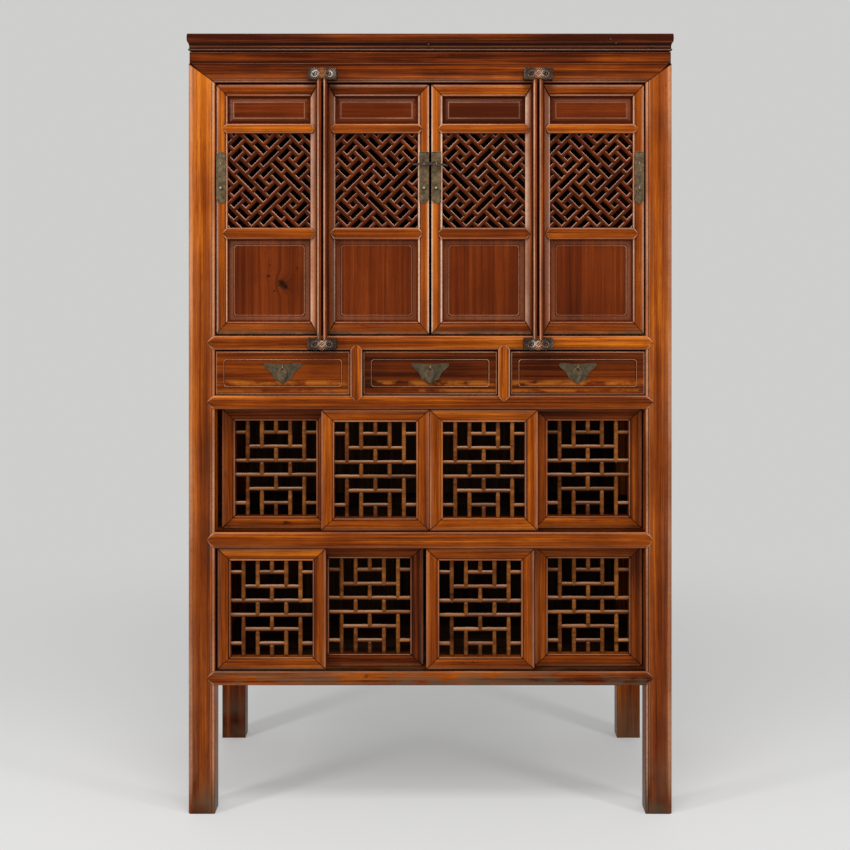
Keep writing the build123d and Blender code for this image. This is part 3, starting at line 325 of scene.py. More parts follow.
def moulding(piece, origin, ways, length, section, begin=0.0, end=0.0, rough=0.35, tone=None):
    """Runs a section of (across, deep, wear and painted light) points along a member, less what each mitre
    takes from it.

    Dirt lies in the joint at either end.
    """
    section = np.asarray(section, float)
    share = np.linspace(0, 1, max(3, round(length / RING_STEP)))
    near = np.array([1.3, 3.0]) / length
    share = np.concatenate([[0], near, share[1:-1], 1 - near[::-1], [1]])[:, None]
    along = begin + share * (length - end - begin) * np.ones(len(section))
    front = np.clip(1 - section[:, 1] / 8, 0, 1)
    joint = np.zeros((len(share), 1))
    joint[[0, -1]], joint[[1, -2]] = 1, 0.45
    deep = section[:, 1] + front * (uneven(piece.chance, along, rough) + 0.5 * (joint == 1))
    across = np.broadcast_to(section[:, 0], along.shape)
    wear_and_light = section[:, 2] * (1 - joint) - joint
    piece.form(origin, ways, np.stack([along, across, deep], axis=-1), wear_and_light=wear_and_light, tone=tone)


POST_W, POST_D, POST_ROUND, POST_BEAD = 60, 46, 8, 7
TOP_RAIL_H, TOP_RAIL_T = 43.5, 30


def post_edge(wear_and_light):
    """A post's back edge and its round outer edge in front."""
    return [(0, POST_D, 0)] + [(a, d, wear_and_light) for a, d in arc((POST_ROUND, POST_ROUND), POST_ROUND, 180, 270, 7)]


POST_SECTION = (
    post_edge(0.55) + [(11, 0, 0.1), (30, 0, 0), (49, 0, 0.05), (52.4, 0.1, 0.35), (53, 1.6, -0.9)]
    + bead(53.2, POST_W, 1.9, 0, 0.7) + [(POST_W, 6, -0.1), (POST_W, POST_D, 0)]
)
mitre = np.array([point[0] for point in POST_SECTION]) * TOP_RAIL_H / POST_W
for side, node in ((1, "front_post_left"), (-1, "front_post_right")):
    low, high = limits(node)
    post = Workpiece(node + "_wood")
    x = low[0] if side > 0 else high[0]
    moulding(post, (x, low[1], 0), (UPRIGHT, (side, 0, 0), ALONG_Y), high[2], POST_SECTION, end=mitre,
             rough=0.5, tone=0.62)
    height = post.points[0][:, 2]
    post.carried["wear_and_light"][0] = post.carried["wear_and_light"][0] - 0.75 * np.clip(1 - height / 90, 0, 1) ** 1.5
    # Painted light: the left post is made lighter towards its top as a highlight, and the right one darker
    # towards its foot as painted shade.
    if side > 0:
        post.carried["tone"][0] = 0.6 + 0.35 * np.clip(height / 700 - 1.2, 0, 1)
    else:
        post.carried["tone"][0] = 0.62 - 0.3 * np.clip(1.5 - height / 400, 0, 1)
    post.board((x, low[1] + TOP_RAIL_T, high[2] - TOP_RAIL_H), (x + side * POST_W, high[1], high[2]), way=2)
    post.done(LACQUER, node)

low, high = limits("back_posts")
back_posts = Workpiece("back_posts_wood")
BACK_POST_SECTION = post_edge(0.45) + [(12, 0, 0), (48, 0, 0), (58, 0, 0.2), (POST_W, 2, 0.3),
                                       (POST_W, POST_D, 0)]
for side, x in ((1, low[0]), (-1, high[0])):
    moulding(back_posts, (x, high[1], 0), (UPRIGHT, (side, 0, 0), (0, -1, 0)), high[2], BACK_POST_SECTION)
back_posts.done(LACQUER, "back_posts")

# Front rails. Four rails cross between the front posts. Their faces are cushioned and run out in pillowed
# points that are let into the posts; behind the points they are plain and stop at square shoulders.

RAIL_POINT, RAIL_BULGE, RAIL_NOTCH = 18, 4, 10
RAIL_WOOD = wood("rail_lacquer", marks=((0.288, 0.05, DUST),), streaks=1.5)


def cushioned_bar(piece, middle, ways, length, height, depth, point, bulge, notch, tone, proud=0.5,
                  rubbed_and_sheen=0.0):
    """A bar whose cushioned face ends in blunt points, round its middle on the plane of its edges.

    Its edges stand as far proud of that plane as given, with a dark line of painted shade along their foot,
    and are pale at the points and as much as is given between them, partly rubbed and partly a painted
    highlight.
    """
    across = np.array([-1, -1, -0.95, -0.88, -0.78, -0.6, -0.35, 0, 0.35, 0.6, 0.78, 0.88, 0.95, 1, 1])
    crown = 1 - np.abs(across) ** 2.4
    lift = np.array([0, *np.ones(len(across) - 2), 0])
    # Painted light: dark painted shade at the foot of both edges, and the edge on the positive side across
    # (the upper edge of a rail or bar) paler than the other, a painted highlight.
    worn_and_sheen = np.array([-1, -0.8, 0, 0.2, 0.1, 0, 0, 0, 0, 0, 0.1, 0.4, 0.35, -0.8, -1])
    rim = np.array([0, 0, 1, 1, 0.3, 0, 0, 0, 0, 0, 0.3, 1, 1, 0, 0])
    tips = (1, 0.97, 0.9, 0.78, 0.6, 0.4, 0.2, 0.06)
    places = [(-length / 2 - point * q, q, notch) for q in tips] + [(-length / 2, 0, notch)]
    count = max(2, round(length / RING_STEP))
    places += [(x, 0, depth) for x in np.linspace(-length / 2, length / 2, count)]
    places += [(-x, q, d) for x, q, d in reversed(places[:len(tips) + 1])]
    unevenness = uneven(piece.chance, np.array([p[0] for p in places]), 0.35)
    rings, wear_and_light = [], []
    for (x, q, deep), off in zip(places, unevenness):
        half = height / 2 * max(1 - q ** 1.6, 0.03)
        rise = (bulge - proud) * (1 - 0.6 * q ** 2.2) * min(1, (half / (height / 2)) ** 0.35)
        ring = [(x, a * half, -(proud * up + (rise - off) * c)) for a, c, up in zip(across, crown, lift)]
        rings.append(ring + [(x, half, deep), (x, -half, deep)])
        wear_and_light.append([*(worn_and_sheen + (0.95 - worn_and_sheen) * rim * max(rubbed_and_sheen, min(1, 2.5 * q))), 0, 0])
    piece.form(middle, ways, rings, wear_and_light, tone)


for name, tone in (("bottom_rail", 0.45), ("middle_rail", 0.55), ("drawer_rail", 0.5), ("door_rail", 0.6)):
    low, high = limits(name)
    rail = Workpiece(name + "_wood")
    middle = ((low[0] + high[0]) / 2, low[1] + RAIL_BULGE, (low[2] + high[2]) / 2)
    cushioned_bar(rail, middle, FACING, high[0] - low[0] - 2 * RAIL_POINT, high[2] - low[2],
                  high[1] - low[1] - RAIL_BULGE, RAIL_POINT, RAIL_BULGE, RAIL_NOTCH, tone)
    rail.done(RAIL_WOOD, name)

# Top rail. It is mitred to the front posts and carries the posts' bead along its lower edge.

low, high = limits("top_rail")
top_rail = Workpiece("top_rail_wood")
quirk = TOP_RAIL_H - POST_BEAD * TOP_RAIL_H / POST_W
TOP_RAIL_SECTION = (
    [(0, TOP_RAIL_T, 0), (0, 8, 0), (0, 4, 0), (0, 2, 0), (0, 0.8, 0), (0, 0, 0.3), (1.5, 0, 0), (20, 0, 0),
     (quirk - 3, 0, 0.05), (quirk - 0.5, 0.1, 0.35), (quirk, 1.6, -0.9)]
    + bead(quirk + 0.1, TOP_RAIL_H, 1.9, 0, 0.35) + [(TOP_RAIL_H, 6, -0.2), (TOP_RAIL_H, TOP_RAIL_T, 0)]
)
cut = np.array([
    max(across * POST_W / TOP_RAIL_H,
        POST_ROUND - math.sqrt(max(POST_ROUND**2 - max(POST_ROUND - deep, 0) ** 2, 0)))
    for across, deep, _ in TOP_RAIL_SECTION
])
moulding(top_rail, (low[0], low[1], high[2]), (ALONG_X, (0, 0, -1), ALONG_Y), high[0] - low[0],
         TOP_RAIL_SECTION, cut, cut, tone=0.24)
top_rail.done(RAIL_WOOD, "top_rail")

# Drawer dividers. Two short uprights between the drawers, with the rails' cushioned faces and points.

DIVIDER_W, DIVIDER_POINT = 27, 13
low, high = limits("drawer_dividers")
dividers = Workpiece("drawer_dividers_wood")
for x in (low[0] + DIVIDER_W / 2, high[0] - DIVIDER_W / 2):
    cushioned_bar(dividers, (x, low[1] + RAIL_BULGE, (low[2] + high[2]) / 2), (UPRIGHT, ALONG_X, ALONG_Y),
                  high[2] - low[2] - 2 * DIVIDER_POINT, DIVIDER_W, high[1] - low[1] - RAIL_BULGE,
                  DIVIDER_POINT, RAIL_BULGE + 2.2, RAIL_NOTCH, 0.6, RAIL_BULGE + 0.5, 0.75)
dividers.done(RAIL_WOOD, "drawer_dividers")

# Sides and back. A rail at each level joins the posts, with a board panel between each two.
# The back and the inside were never lacquered, only stained, and have gone dark with age.

INNER_WOOD = wood(
    "stained_inner_wood",
    [(0.1, (0.012, 0.006, 0.003)), (0.4, (0.038, 0.017, 0.008)), (0.7, (0.075, 0.034, 0.015)),
     (0.95, (0.12, 0.06, 0.03))],
    worn_and_sheen=(0.16, 0.09, 0.05), grimy_and_shaded=(0.006, 0.004, 0.003), gloss=0.6,
)
LEVELS = [(290, 32), (598.1, 37), (911.2, 31), (1044.7, 32), (1646.7, 43.5)]  # lower edge and height of each
SPANS = [(a + h, b) for (a, h), (b, _) in zip(LEVELS, LEVELS[1:])]
SIDE_RAIL_T, SIDE_PANEL_T = 36, 10

side_rails, side_panels = Workpiece("side_rails_wood"), Workpiece("side_panels_wood")
low, high = limits("side_rails")
outer = limits("side_panels")[1][0]
for side in (-1, 1):
    for z, h in LEVELS:
        side_rails.board((side * high[0], low[1], z), (side * (high[0] - SIDE_RAIL_T), high[1], z + h), 1, 2.5)
    for z0, z1 in SPANS:
        side_panels.boards((side * outer, low[1], z0), (side * (outer - SIDE_PANEL_T), high[1], z1),
                           split=1, count=3, way=2, ease=0.6)
side_rails.done(LACQUER, "side_rails")
side_panels.done(LACQUER, "side_panels")

back_rails, back_panels = Workpiece("back_rails_wood"), Workpiece("back_panels_wood")
low, high = limits("back_rails")
panel_low, panel_high = limits("back_panels")
for z, h in LEVELS:
    back_rails.board((low[0], low[1], z), (high[0], high[1], z + h), 0, 2.5)
for z0, z1 in SPANS:
    back_panels.boards((*panel_low[:2], z0), (*panel_high[:2], z1), split=0, count=5, way=2, ease=0.6)
back_rails.done(INNER_WOOD, "back_rails", slot="inner_wood")
back_panels.done(INNER_WOOD, "back_panels", slot="inner_wood")

# Floors, shelf and runners. Each floor is four boards on two battens, and reaches the side panels except
# between the back posts. The book shelf lies on a bearer at each side. The drawers slide on strips, with a
# guide standing between each two.

INNER, SIDE_IN, BACK_IN, POST_BACK = 485, 505, 219.5, 207.5
FLOOR_T, BATTEN_X, BATTEN_W = 12, 240, 40
SHELF_T, SHELF_DEPTH, BEARER_W = 18, 350, 18
RUNNER_W = 20
for node in ("bottom_floor", "middle_floor", "upper_floor"):
    low, high = limits(node)
    under = high[2] - FLOOR_T
    deck = Workpiece(node + "_boards")
    deck.boards((-SIDE_IN, low[1], under), (SIDE_IN, POST_BACK, high[2]), split=1, count=3, ease=0.8)
    deck.board((-INNER, POST_BACK, under), (INNER, BACK_IN, high[2]), ease=0.8)
    for x in (-BATTEN_X, BATTEN_X):
        deck.board((x - BATTEN_W / 2, low[1], low[2]), (x + BATTEN_W / 2, BACK_IN, under), 1)
    deck.done(INNER_WOOD, node, slot="inner_wood")

low, high = limits("book_shelf")
shelf = Workpiece("book_shelf_boards")
under = high[2] - SHELF_T
shelf.boards((-INNER, BACK_IN - SHELF_DEPTH, under), (INNER, BACK_IN, high[2]), split=1, count=2)
for side in (-1, 1):
    shelf.board((side * INNER, low[1], low[2]), (side * (INNER - BEARER_W), high[1], under), 1)
shelf.done(INNER_WOOD, "book_shelf", slot="inner_wood")

low, high = limits("drawer_runners")
runners = Workpiece("drawer_runner_strips")
strip_top = high[2] - RUNNER_W
half_opening = (INNER - DIVIDER_W) / 3
for side in (-1, 1):
    for x0, x1, top, back in (
        (half_opening - RUNNER_W, half_opening + DIVIDER_W + RUNNER_W, strip_top, BACK_IN),
        (half_opening, half_opening + DIVIDER_W, high[2], BACK_IN),
        (INNER - RUNNER_W, INNER, strip_top, BACK_IN), (INNER, SIDE_IN, high[2], POST_BACK),
    ):
        runners.board((side * x0, low[1], low[2]), (side * x1, back, top), 1, 0.6)
runners.done(INNER_WOOD, "drawer_runners", slot="inner_wood")

# Frieze and cap. Four mitred boards stand on the top rails, and over them lies a moulded frame: from
# below a bead, a strip, a cove and a cushioned edge. A board panel is let into the frame.

# The neck under the cap is darkened as painted shade.
FRIEZE_SECTION = [(22, 0, 0), (22, 28.5, 0), (3, 28.5, -0.8), (3, 25.6, -0.9), (0.5, 25.5, 0.2),
                  (0, 24.9, 0.2), (0, 24, 0), (0, 12, 0), (0, 1.5, 0), (0.4, 0, -0.5)]
CAP_W, CAP_H, CAP_BEAD, CAP_EDGE = 62, 38, 2.15, 19.4
# The cap's bead foot and cove are darker, with dirt and painted shade.
CAP_SECTION = (
    [(CAP_W, 0, 0)] + [(5 - CAP_BEAD * math.sin(t), CAP_BEAD * (1 - math.cos(t)), -0.7 + math.sin(t))
                       for t in np.linspace(0, math.pi, 7)]
    + [(5, 4.6, -0.7), (5, 7.5, 0), (5, 10.4, 0.15), (4.9, 10.9, 0), (4.6, 12.6, -0.8), (3.9, 15, -0.7),
       (2.7, 17.4, -0.4), (1.5, CAP_EDGE, 0.3)]
    + [(1.5 * (1 - math.sin(t)), CAP_EDGE + (CAP_H - CAP_EDGE) * (1 - math.cos(t)) / 2, -0.15)
       for t in np.linspace(0.3, math.pi, 9)]
    + [(6, CAP_H, -0.1), (30, CAP_H, 0), (CAP_W, CAP_H, 0)]
)


def mitred_ring(name, section, tone, other_tone):
    """Four members of one section of (inwards, up, wear and painted light) points, mitred round the cabinet.
    """
    low, high = limits(name)
    ring = Workpiece(name + "_wood")
    corners = [(low[0], low[1]), (high[0], low[1]), (high[0], high[1]), (low[0], high[1])]
    cut = np.array([point[0] for point in section])
    for k, start in enumerate(corners):
        run = np.subtract(corners[(k + 1) % 4], start)
        length = np.linalg.norm(run)
        way = (*run / length, 0)
        moulding(ring, (*start, low[2]), (way, (-way[1], way[0], 0), UPRIGHT), length, section, cut, cut, 0,
                 other_tone if k else tone)
    ring.done(RAIL_WOOD, name)


mitred_ring("frieze_boards", FRIEZE_SECTION, 0.15, 0.2)
mitred_ring("cap_frame", CAP_SECTION, -0.1, 0.1)
low, high = limits("top_panel")
top_boards = Workpiece("top_panel_boards")
top_boards.boards(low, (high[0], high[1], high[2] - 0.6), split=1, count=3, ease=0.8, tone=0.2)
top_boards.done(LACQUER, "top_panel")

# Pivot blocks. Four blocks hold the leaves' pivots, two to a block. Each is carved with a flower at both
# ends and a knot between them, over a ground of small punched hollows that is coloured darker the lower it
# lies. Each block's rim is darkened as painted shade, and the tops of the carving are pale, partly rubbed
# and partly a painted highlight set block by block, brightest on the upper-left block's left flower.

BLOCK_W, BLOCK_H, BLOCK_PROUD, CARVING = 67, 28.5, 20, 4.2
FLOWER_X = 15.5
# The pale colour of the carving stands for rubbing and for silvery painted highlights.
CARVED = wood(
    "carved_block_wood",
    [(0.1, (0.030, 0.018, 0.013)), (0.4, (0.090, 0.052, 0.036)), (0.7, (0.18, 0.075, 0.038)),
     (1, (0.36, 0.13, 0.035))],
    worn_and_sheen=(0.60, 0.50, 0.43), gloss=0.2,
)


def carved_height(x, z):
    """How far the carving stands out of its ground, from 0 to 1, over a block's face."""
    height = 0.42 + 0.4 * np.sin(x * 1.3 + 0.8 * np.sin(z * 0.5)) * np.sin(z * 1.3 + 0.7 * np.sin(x * 0.4))
    for side in (-1, 1):
        away = np.hypot(x - side * FLOWER_X, z)
        turn = np.arctan2(z, x - side * FLOWER_X)
        height = height * np.clip(1 - 0.9 * np.exp(-((away - 3.4) / 2.6) ** 2), 0, 1)
        broken = 0.78 + 0.22 * np.sin(3 * turn + 1.3 * side) * np.sin(x * 0.9)
        ring = broken * np.exp(-((away - 7.1 - 0.8 * np.cos(2 * turn + side)) / 2.3) ** 2)
        curl = 0.9 * np.exp(-((away - 0.8 - 0.62 * (turn + math.pi)) / 1.1) ** 2) * (away < 5.0)
        height = np.maximum(height, np.maximum(ring, curl))
    scroll = np.exp(-((np.abs(z) - 3.6 - 2.4 * np.cos(x * 0.42)) / 1.5) ** 2) * (np.abs(x) < 7.5)
    return np.clip(np.maximum(height, 0.85 * scroll), 0, 1)


blocks = Workpiece("pivot_blocks_carved")
low, high = limits("pivot_blocks")
block_x, upper, lower = high[0] - BLOCK_W / 2, high[2] - BLOCK_H / 2, low[2] + BLOCK_H / 2
columns, rows = np.linspace(-BLOCK_W / 2, BLOCK_W / 2, 110), np.linspace(0, 1, 45)
for x, z, scoop, shift in ((-block_x, upper, -3.4, 4.1), (-block_x, lower, 5.5, 1.3),
                           (block_x, upper, -3.4, 1.0), (block_x, lower, 5.5, 2.2)):
    rings, wear_and_light = [], []
    for column in columns:
        half = BLOCK_H / 2 - max(0, abs(column) - (BLOCK_W / 2 - 3)) - 0.5 + 0.5 * math.cos(column * 0.4)
        taken = scoop * math.exp(-(column / 10) ** 4)
        foot, head = -half - min(taken, 0), half - max(taken, 0)
        heights = foot + (head - foot) * rows
        relief = carved_height(column, heights)
        rim = np.minimum(BLOCK_W / 2 - abs(column), np.minimum(heights - foot, head - heights))
        edge = np.clip(rim / 1.8, 0, 1) ** 0.5
        front = CARVING - BLOCK_PROUD - CARVING * relief * edge + 2.2 * (1 - edge)
        rings.append([(column, h, d) for h, d in zip(heights, front)] + [(column, head, 3), (column, foot, 3)])
        # Painted highlight, set block by block through the shift. The term with 1 - edge is painted shade at
        # the rim, and the one with 1 - relief darkens the low ground.
        painted_highlight = np.clip(0.5 + math.sin(0.15 * column + shift) * np.cos(0.1 * heights - 0.3), 0.3, 1.5)
        worn_and_sheen = -0.6 * (1 - relief) - 0.5 * (1 - edge) + 1.2 * relief ** 1.5 * edge * painted_highlight
        wear_and_light.append([*worn_and_sheen, -0.6, -0.6])
    blocks.form((x, low[1] + BLOCK_PROUD, z), FACING, rings, wear_and_light)
    blocks.carried["tone"][-1] = 0.35 + 0.85 * np.repeat(np.exp(-(np.abs(columns) / 9) ** 3), len(rows) + 2)
blocks.done(CARVED, "pivot_blocks")

# Hinged leaves. Each has a mitred frame of moulded members and two cushioned bars. The hinge stile grows
# forward into a round rod, which turns in the pivot blocks. The middle two are palest at their free edges,
# where hands take hold of them, partly rubbed and partly a painted highlight. Chamfers that face left are
# painted paler as a highlight, and each rod has a painted highlight stripe down its left front.

LEAF_STILE, HINGE_STILE, LEAF_T, LEAF_W = 25.0, 25.6, 24.0, 237.475
LEAF_TOP_RAIL, LEAF_LOW_RAIL = 26.2, 28.5
UPPER_BAR, LOWER_BAR = 21.2, 26.0
ROD_R, ROD_AHEAD = 4.75, 11.05
WEB = 2 * ROD_R
BAR_POINT, BAR_BULGE, BAR_NOTCH = 10.8, 2.0, 6.0
LEAF_WAYS = {1: 1, 2: -1, 3: 1, 4: -1}  # 1 where the free stile is on the left, -1 where it is on the right
# The leaves' pale colour is brighter than elsewhere because it is also a painted highlight on beads and edges.
LEAF_WOOD = wood("leaf_lacquer", worn_and_sheen=(0.78, 0.49, 0.33), gloss=0.26,
                 marks=((1.074, 0.028, (0.09, 0.052, 0.022)),))
HINGE_SECTION = [
    (0, LEAF_T, 0), (0, -ROD_AHEAD, 0), (WEB, -ROD_AHEAD, 0), (WEB, 0.8, -1), (10.6, 0.2, -0.5),
    (12.6, 0, -0.1), (13.4, 0.2, 0), (14.6, 0.7, 0.05), (17, 1.9, 0.2), (20, 3.5, 0.42), (23, 4.9, 0.6),
    (25, 5.8, 0.75), (HINGE_STILE, 6.7, 0.3), (HINGE_STILE, 9, -0.3), (HINGE_STILE, LEAF_T, 0),
]


def cushioned_face(start, stop, sink, rubbed_and_sheen):
    """Points of a gently rounded face between two places across a member, palest at its outer edge, partly
    rubbed and partly a painted highlight, and dark at its inner edge with dirt and painted shade.
    """
    shares = np.array([0, 0.04, 0.11, 0.22, 0.36, 0.52, 0.7, 0.85, 0.95, 1])
    worn_and_sheen = np.array([0.1 * rubbed_and_sheen, rubbed_and_sheen, 0.75 * rubbed_and_sheen, 0.1, 0, 0, 0, 0, -0.15, -0.7])
    return [(start + (stop - start) * s, sink * abs(2 * s - 1) ** 2.3, w) for s, w in zip(shares, worn_and_sheen)]


def framing(width, thickness, sink, bead_w, rubbed_and_sheen):
    """A frame member's section: a rounded face, a quirk, and a bead along its inner edge."""
    face_end = width - bead_w
    return (
        [(0, thickness, 0)] + cushioned_face(0, face_end, sink, rubbed_and_sheen)
        + [(face_end + 0.2, sink + 1.0, -1)] + bead(face_end + 0.4, width, sink + 0.9, 0.5 * sink, rubbed_and_sheen)
        + [(width, sink + 4, -0.3), (width, thickness, 0)]
    )


def cut_by(section, other, start=0):
    """What a mitre takes from each point of a section that meets a member of another width."""
    return np.interp([point[0] for point in section], [start, section[-1][0]], [0, other])


for number, side in LEAF_WAYS.items():
    low, high = limits(f"leaf_{number}_frame")
    panel_low, panel_high = limits(f"leaf_{number}_panels")
    lattice_low, lattice_high = limits(f"leaf_{number}_lattice")
    free_x, hinge_x = (low[0], high[0]) if side > 0 else (high[0], low[0])
    inwards, outwards = (side, 0, 0), (-side, 0, 0)
    face_y = low[1] + ROD_R + ROD_AHEAD
    bottom, top = panel_low[2] - LEAF_LOW_RAIL, panel_high[2] + LEAF_TOP_RAIL
    leaf = Workpiece(f"leaf_{number}_frame_wood")
    bead_w, rubbed_and_sheen = (5.4, 0.95) if number in (2, 3) else (4.6, 0.6)
    stile = framing(LEAF_STILE, LEAF_T, sink=3.4, bead_w=bead_w, rubbed_and_sheen=rubbed_and_sheen)
    moulding(leaf, (free_x, face_y, bottom), (UPRIGHT, inwards, ALONG_Y), top - bottom, stile,
             cut_by(stile, LEAF_LOW_RAIL), cut_by(stile, LEAF_TOP_RAIL), tone=0.7)
    # Painted highlight: chamfers of hinge stiles that face left are made paler, and those that face right stay
    # dark except at their inner edge.
    hinge = [(a, b, c * (1.15 if side > 0 else 0.25 + 0.75 * (a > 24)) if c > 0 else c)
             for a, b, c in HINGE_SECTION]
    moulding(leaf, (hinge_x, face_y, bottom), (UPRIGHT, outwards, ALONG_Y), top - bottom, hinge,
             cut_by(hinge, LEAF_LOW_RAIL, WEB), cut_by(hinge, LEAF_TOP_RAIL, WEB), tone=0.45)
    # A painted highlight stripe runs down the left front of each rod.
    rod = [(a, b, 0.8 * math.exp(-((a * side - 2) / 1.2) ** 2) * (b < 0))
           for a, b in arc((0, 0), ROD_R, 0, 345, 24)]
    moulding(leaf, (hinge_x - side * ROD_R, low[1] + ROD_R, low[2]), (UPRIGHT, outwards, ALONG_Y),
             high[2] - low[2], rod, rough=0, tone=0.4)
    for z, way, height in ((top, -1, LEAF_TOP_RAIL), (bottom, 1, LEAF_LOW_RAIL)):
        rail = framing(height, LEAF_T, sink=3.0, bead_w=5, rubbed_and_sheen=0.28)
        moulding(leaf, (free_x, face_y, z), (inwards, (0, 0, way), ALONG_Y), LEAF_W, rail,
                 cut_by(rail, LEAF_STILE), WEB + cut_by(rail, HINGE_STILE - WEB), tone=0.5)
    opening = LEAF_W - LEAF_STILE - HINGE_STILE
    middle_x = free_x + side * (LEAF_STILE + opening / 2)
    for z, height in ((lattice_high[2] + UPPER_BAR / 2, UPPER_BAR),
                      (lattice_low[2] - LOWER_BAR / 2, LOWER_BAR)):
        cushioned_bar(leaf, (middle_x, face_y, z), (inwards, UPRIGHT, ALONG_Y), opening, height, LEAF_T,
                      BAR_POINT, BAR_BULGE, BAR_NOTCH, 0.6)
    leaf.done(LEAF_WOOD, f"leaf_{number}_frame", body=f"leaf_{number}")

# Leaf panels. The top one is a board with a raised, bevelled field. The bottom one is flat, with a fine
# line left standing near its edge.

LOW_PANEL_H, TOP_PANEL_H, PANEL_T = 185.7, 62.6, 8.0
PANEL_RED = [(0.05, (0.055, 0.0085, 0.0016)), (0.4, (0.115, 0.018, 0.0025)), (0.8, (0.21, 0.038, 0.005)),
             (1, (0.30, 0.065, 0.008))]
PANEL_WOOD = wood("panel_lacquer", PANEL_RED, gloss=0.25,
                  knots=((-0.336, 1.195, 0.0078), (-0.328, 1.187, 0.0052), (-0.365, 1.211, 0.0032),
                         (-0.352, 1.177, 0.0018), (-0.362, 1.235, 0.0016)))
# In these profiles the pale ridges and field edges are partly rubbed and partly painted highlight, and the
# dark quirks are dirt and painted shade.
FIELD = [(-1, PANEL_T, 0), (-1, 0, -0.5), (1.5, 0, -0.6), (3.0, -0.1, -0.35), (6.5, -1.5, -0.05),
         (10.6, -3.2, 0.1), (11.6, -3.5, -0.6), (12.0, -3.5, -0.7), (12.3, -4, 0.75), (13.2, -4, 0.3),
         (16, -4, 0), (24, -4, 0)]
LINED = [(-1, PANEL_T, 0), (-1, 0.9, -0.6), (2, 0.9, -0.2), (4.5, 0.9, 0.14), (11.6, 0.9, 0.16),
         (12.9, 1.1, -0.85), (13.3, 0.2, 0.3), (14.1, -0.5, 0.75), (15.0, 0.05, 0.1), (15.8, 0.1, -0.2),
         (17, 0, 0), (24, 0, 0), (50, 0, 0)]


def rounded_outline(width, height, radius):
    """Points round a rectangle with rounded corners, the same number for any size."""
    radius = max(radius, 0.05)
    corners = [arc((sx * (width / 2 - radius), sz * (height / 2 - radius)), radius, 90 * k, 90 * k + 90, 6)
               for k, (sx, sz) in enumerate(((1, 1), (-1, 1), (-1, -1), (1, -1)))]
    points = []
    for corner, following in zip(corners, corners[1:] + corners[:1]):
        points += [*corner, *np.linspace(corner[-1], following[0], 8)[1:-1]]
    return points


def panel(piece, middle, ways, width, height, profile, tone, radius=0.0, square_to=0.0):
    """A board shaped by a profile of (inset, deep, wear and painted light) points that runs round all four of
    its edges.

    Its corners are square as far in as square_to, and rounded beyond it.
    """
    layers = []
    for inset, deep, worn_and_sheen in profile:
        bend = radius if inset > square_to else 0
        layers.append((rounded_outline(width - 2 * inset, height - 2 * inset, bend), deep, worn_and_sheen))
    piece.layers(middle, ways, layers, tone)


for number in LEAF_WAYS:
    low, high = limits(f"leaf_{number}_panels")
    infill = Workpiece(f"leaf_{number}_panel_boards")
    x, face_y, across = (low[0] + high[0]) / 2, high[1] - PANEL_T, high[0] - low[0]
    panel(infill, (x, face_y, high[2] - TOP_PANEL_H / 2), FACING, across, TOP_PANEL_H, FIELD,
          -0.15 if number == 3 else 0.3)
    panel(infill, (x, face_y, low[2] + LOW_PANEL_H / 2), (UPRIGHT, ALONG_X, ALONG_Y), LOW_PANEL_H, across,
          LINED, 0.4, radius=6, square_to=5)
    infill.done(PANEL_WOOD, f"leaf_{number}_panels", body=f"leaf_{number}")

# Leaf lattices. Short slips are halved together on the slant into a pinwheel fret, and the fret is let
# into grooves in the frame. Each slip is nearly flat in front. Its upward-facing edge is painted pale as a
# highlight, and its downward-facing side is painted darker as shade.

FRET_PITCH, FRET_W, FRET_T = 18.9, 6.2, 9.0
FRET_STEP = FRET_PITCH / math.sqrt(2)
SHORT = (FRET_W / 2 - 0.7) / math.sqrt(2)
LET_IN, SCRAP = 3, 3
FRET_WOOD = wood(
    "fret_lacquer",
    [(0.05, (0.022, 0.004, 0.001)), (0.4, (0.085, 0.014, 0.002)), (0.7, (0.15, 0.028, 0.004)),
     (1, (0.23, 0.05, 0.008))],
    worn_and_sheen=(0.64, 0.37, 0.27), grimy_and_shaded=(0.045, 0.008, 0.0015), gloss=0.3,
)
# The setting that scales the painted light on the slips is high: upper edges are painted pale as a highlight
# and lower sides dark as shade.
FRET_SLIPS = {
    "Half Width": FRET_W / 2000, "Half Depth": FRET_T / 2000, "Swelling": 0.0, "Rounding": 0.0, "Waver": 0.1,
    "Squareness": 0.42, "Wear": 2.9, "Rings": 7, "Sides": 12, "Material": FRET_WOOD,
}


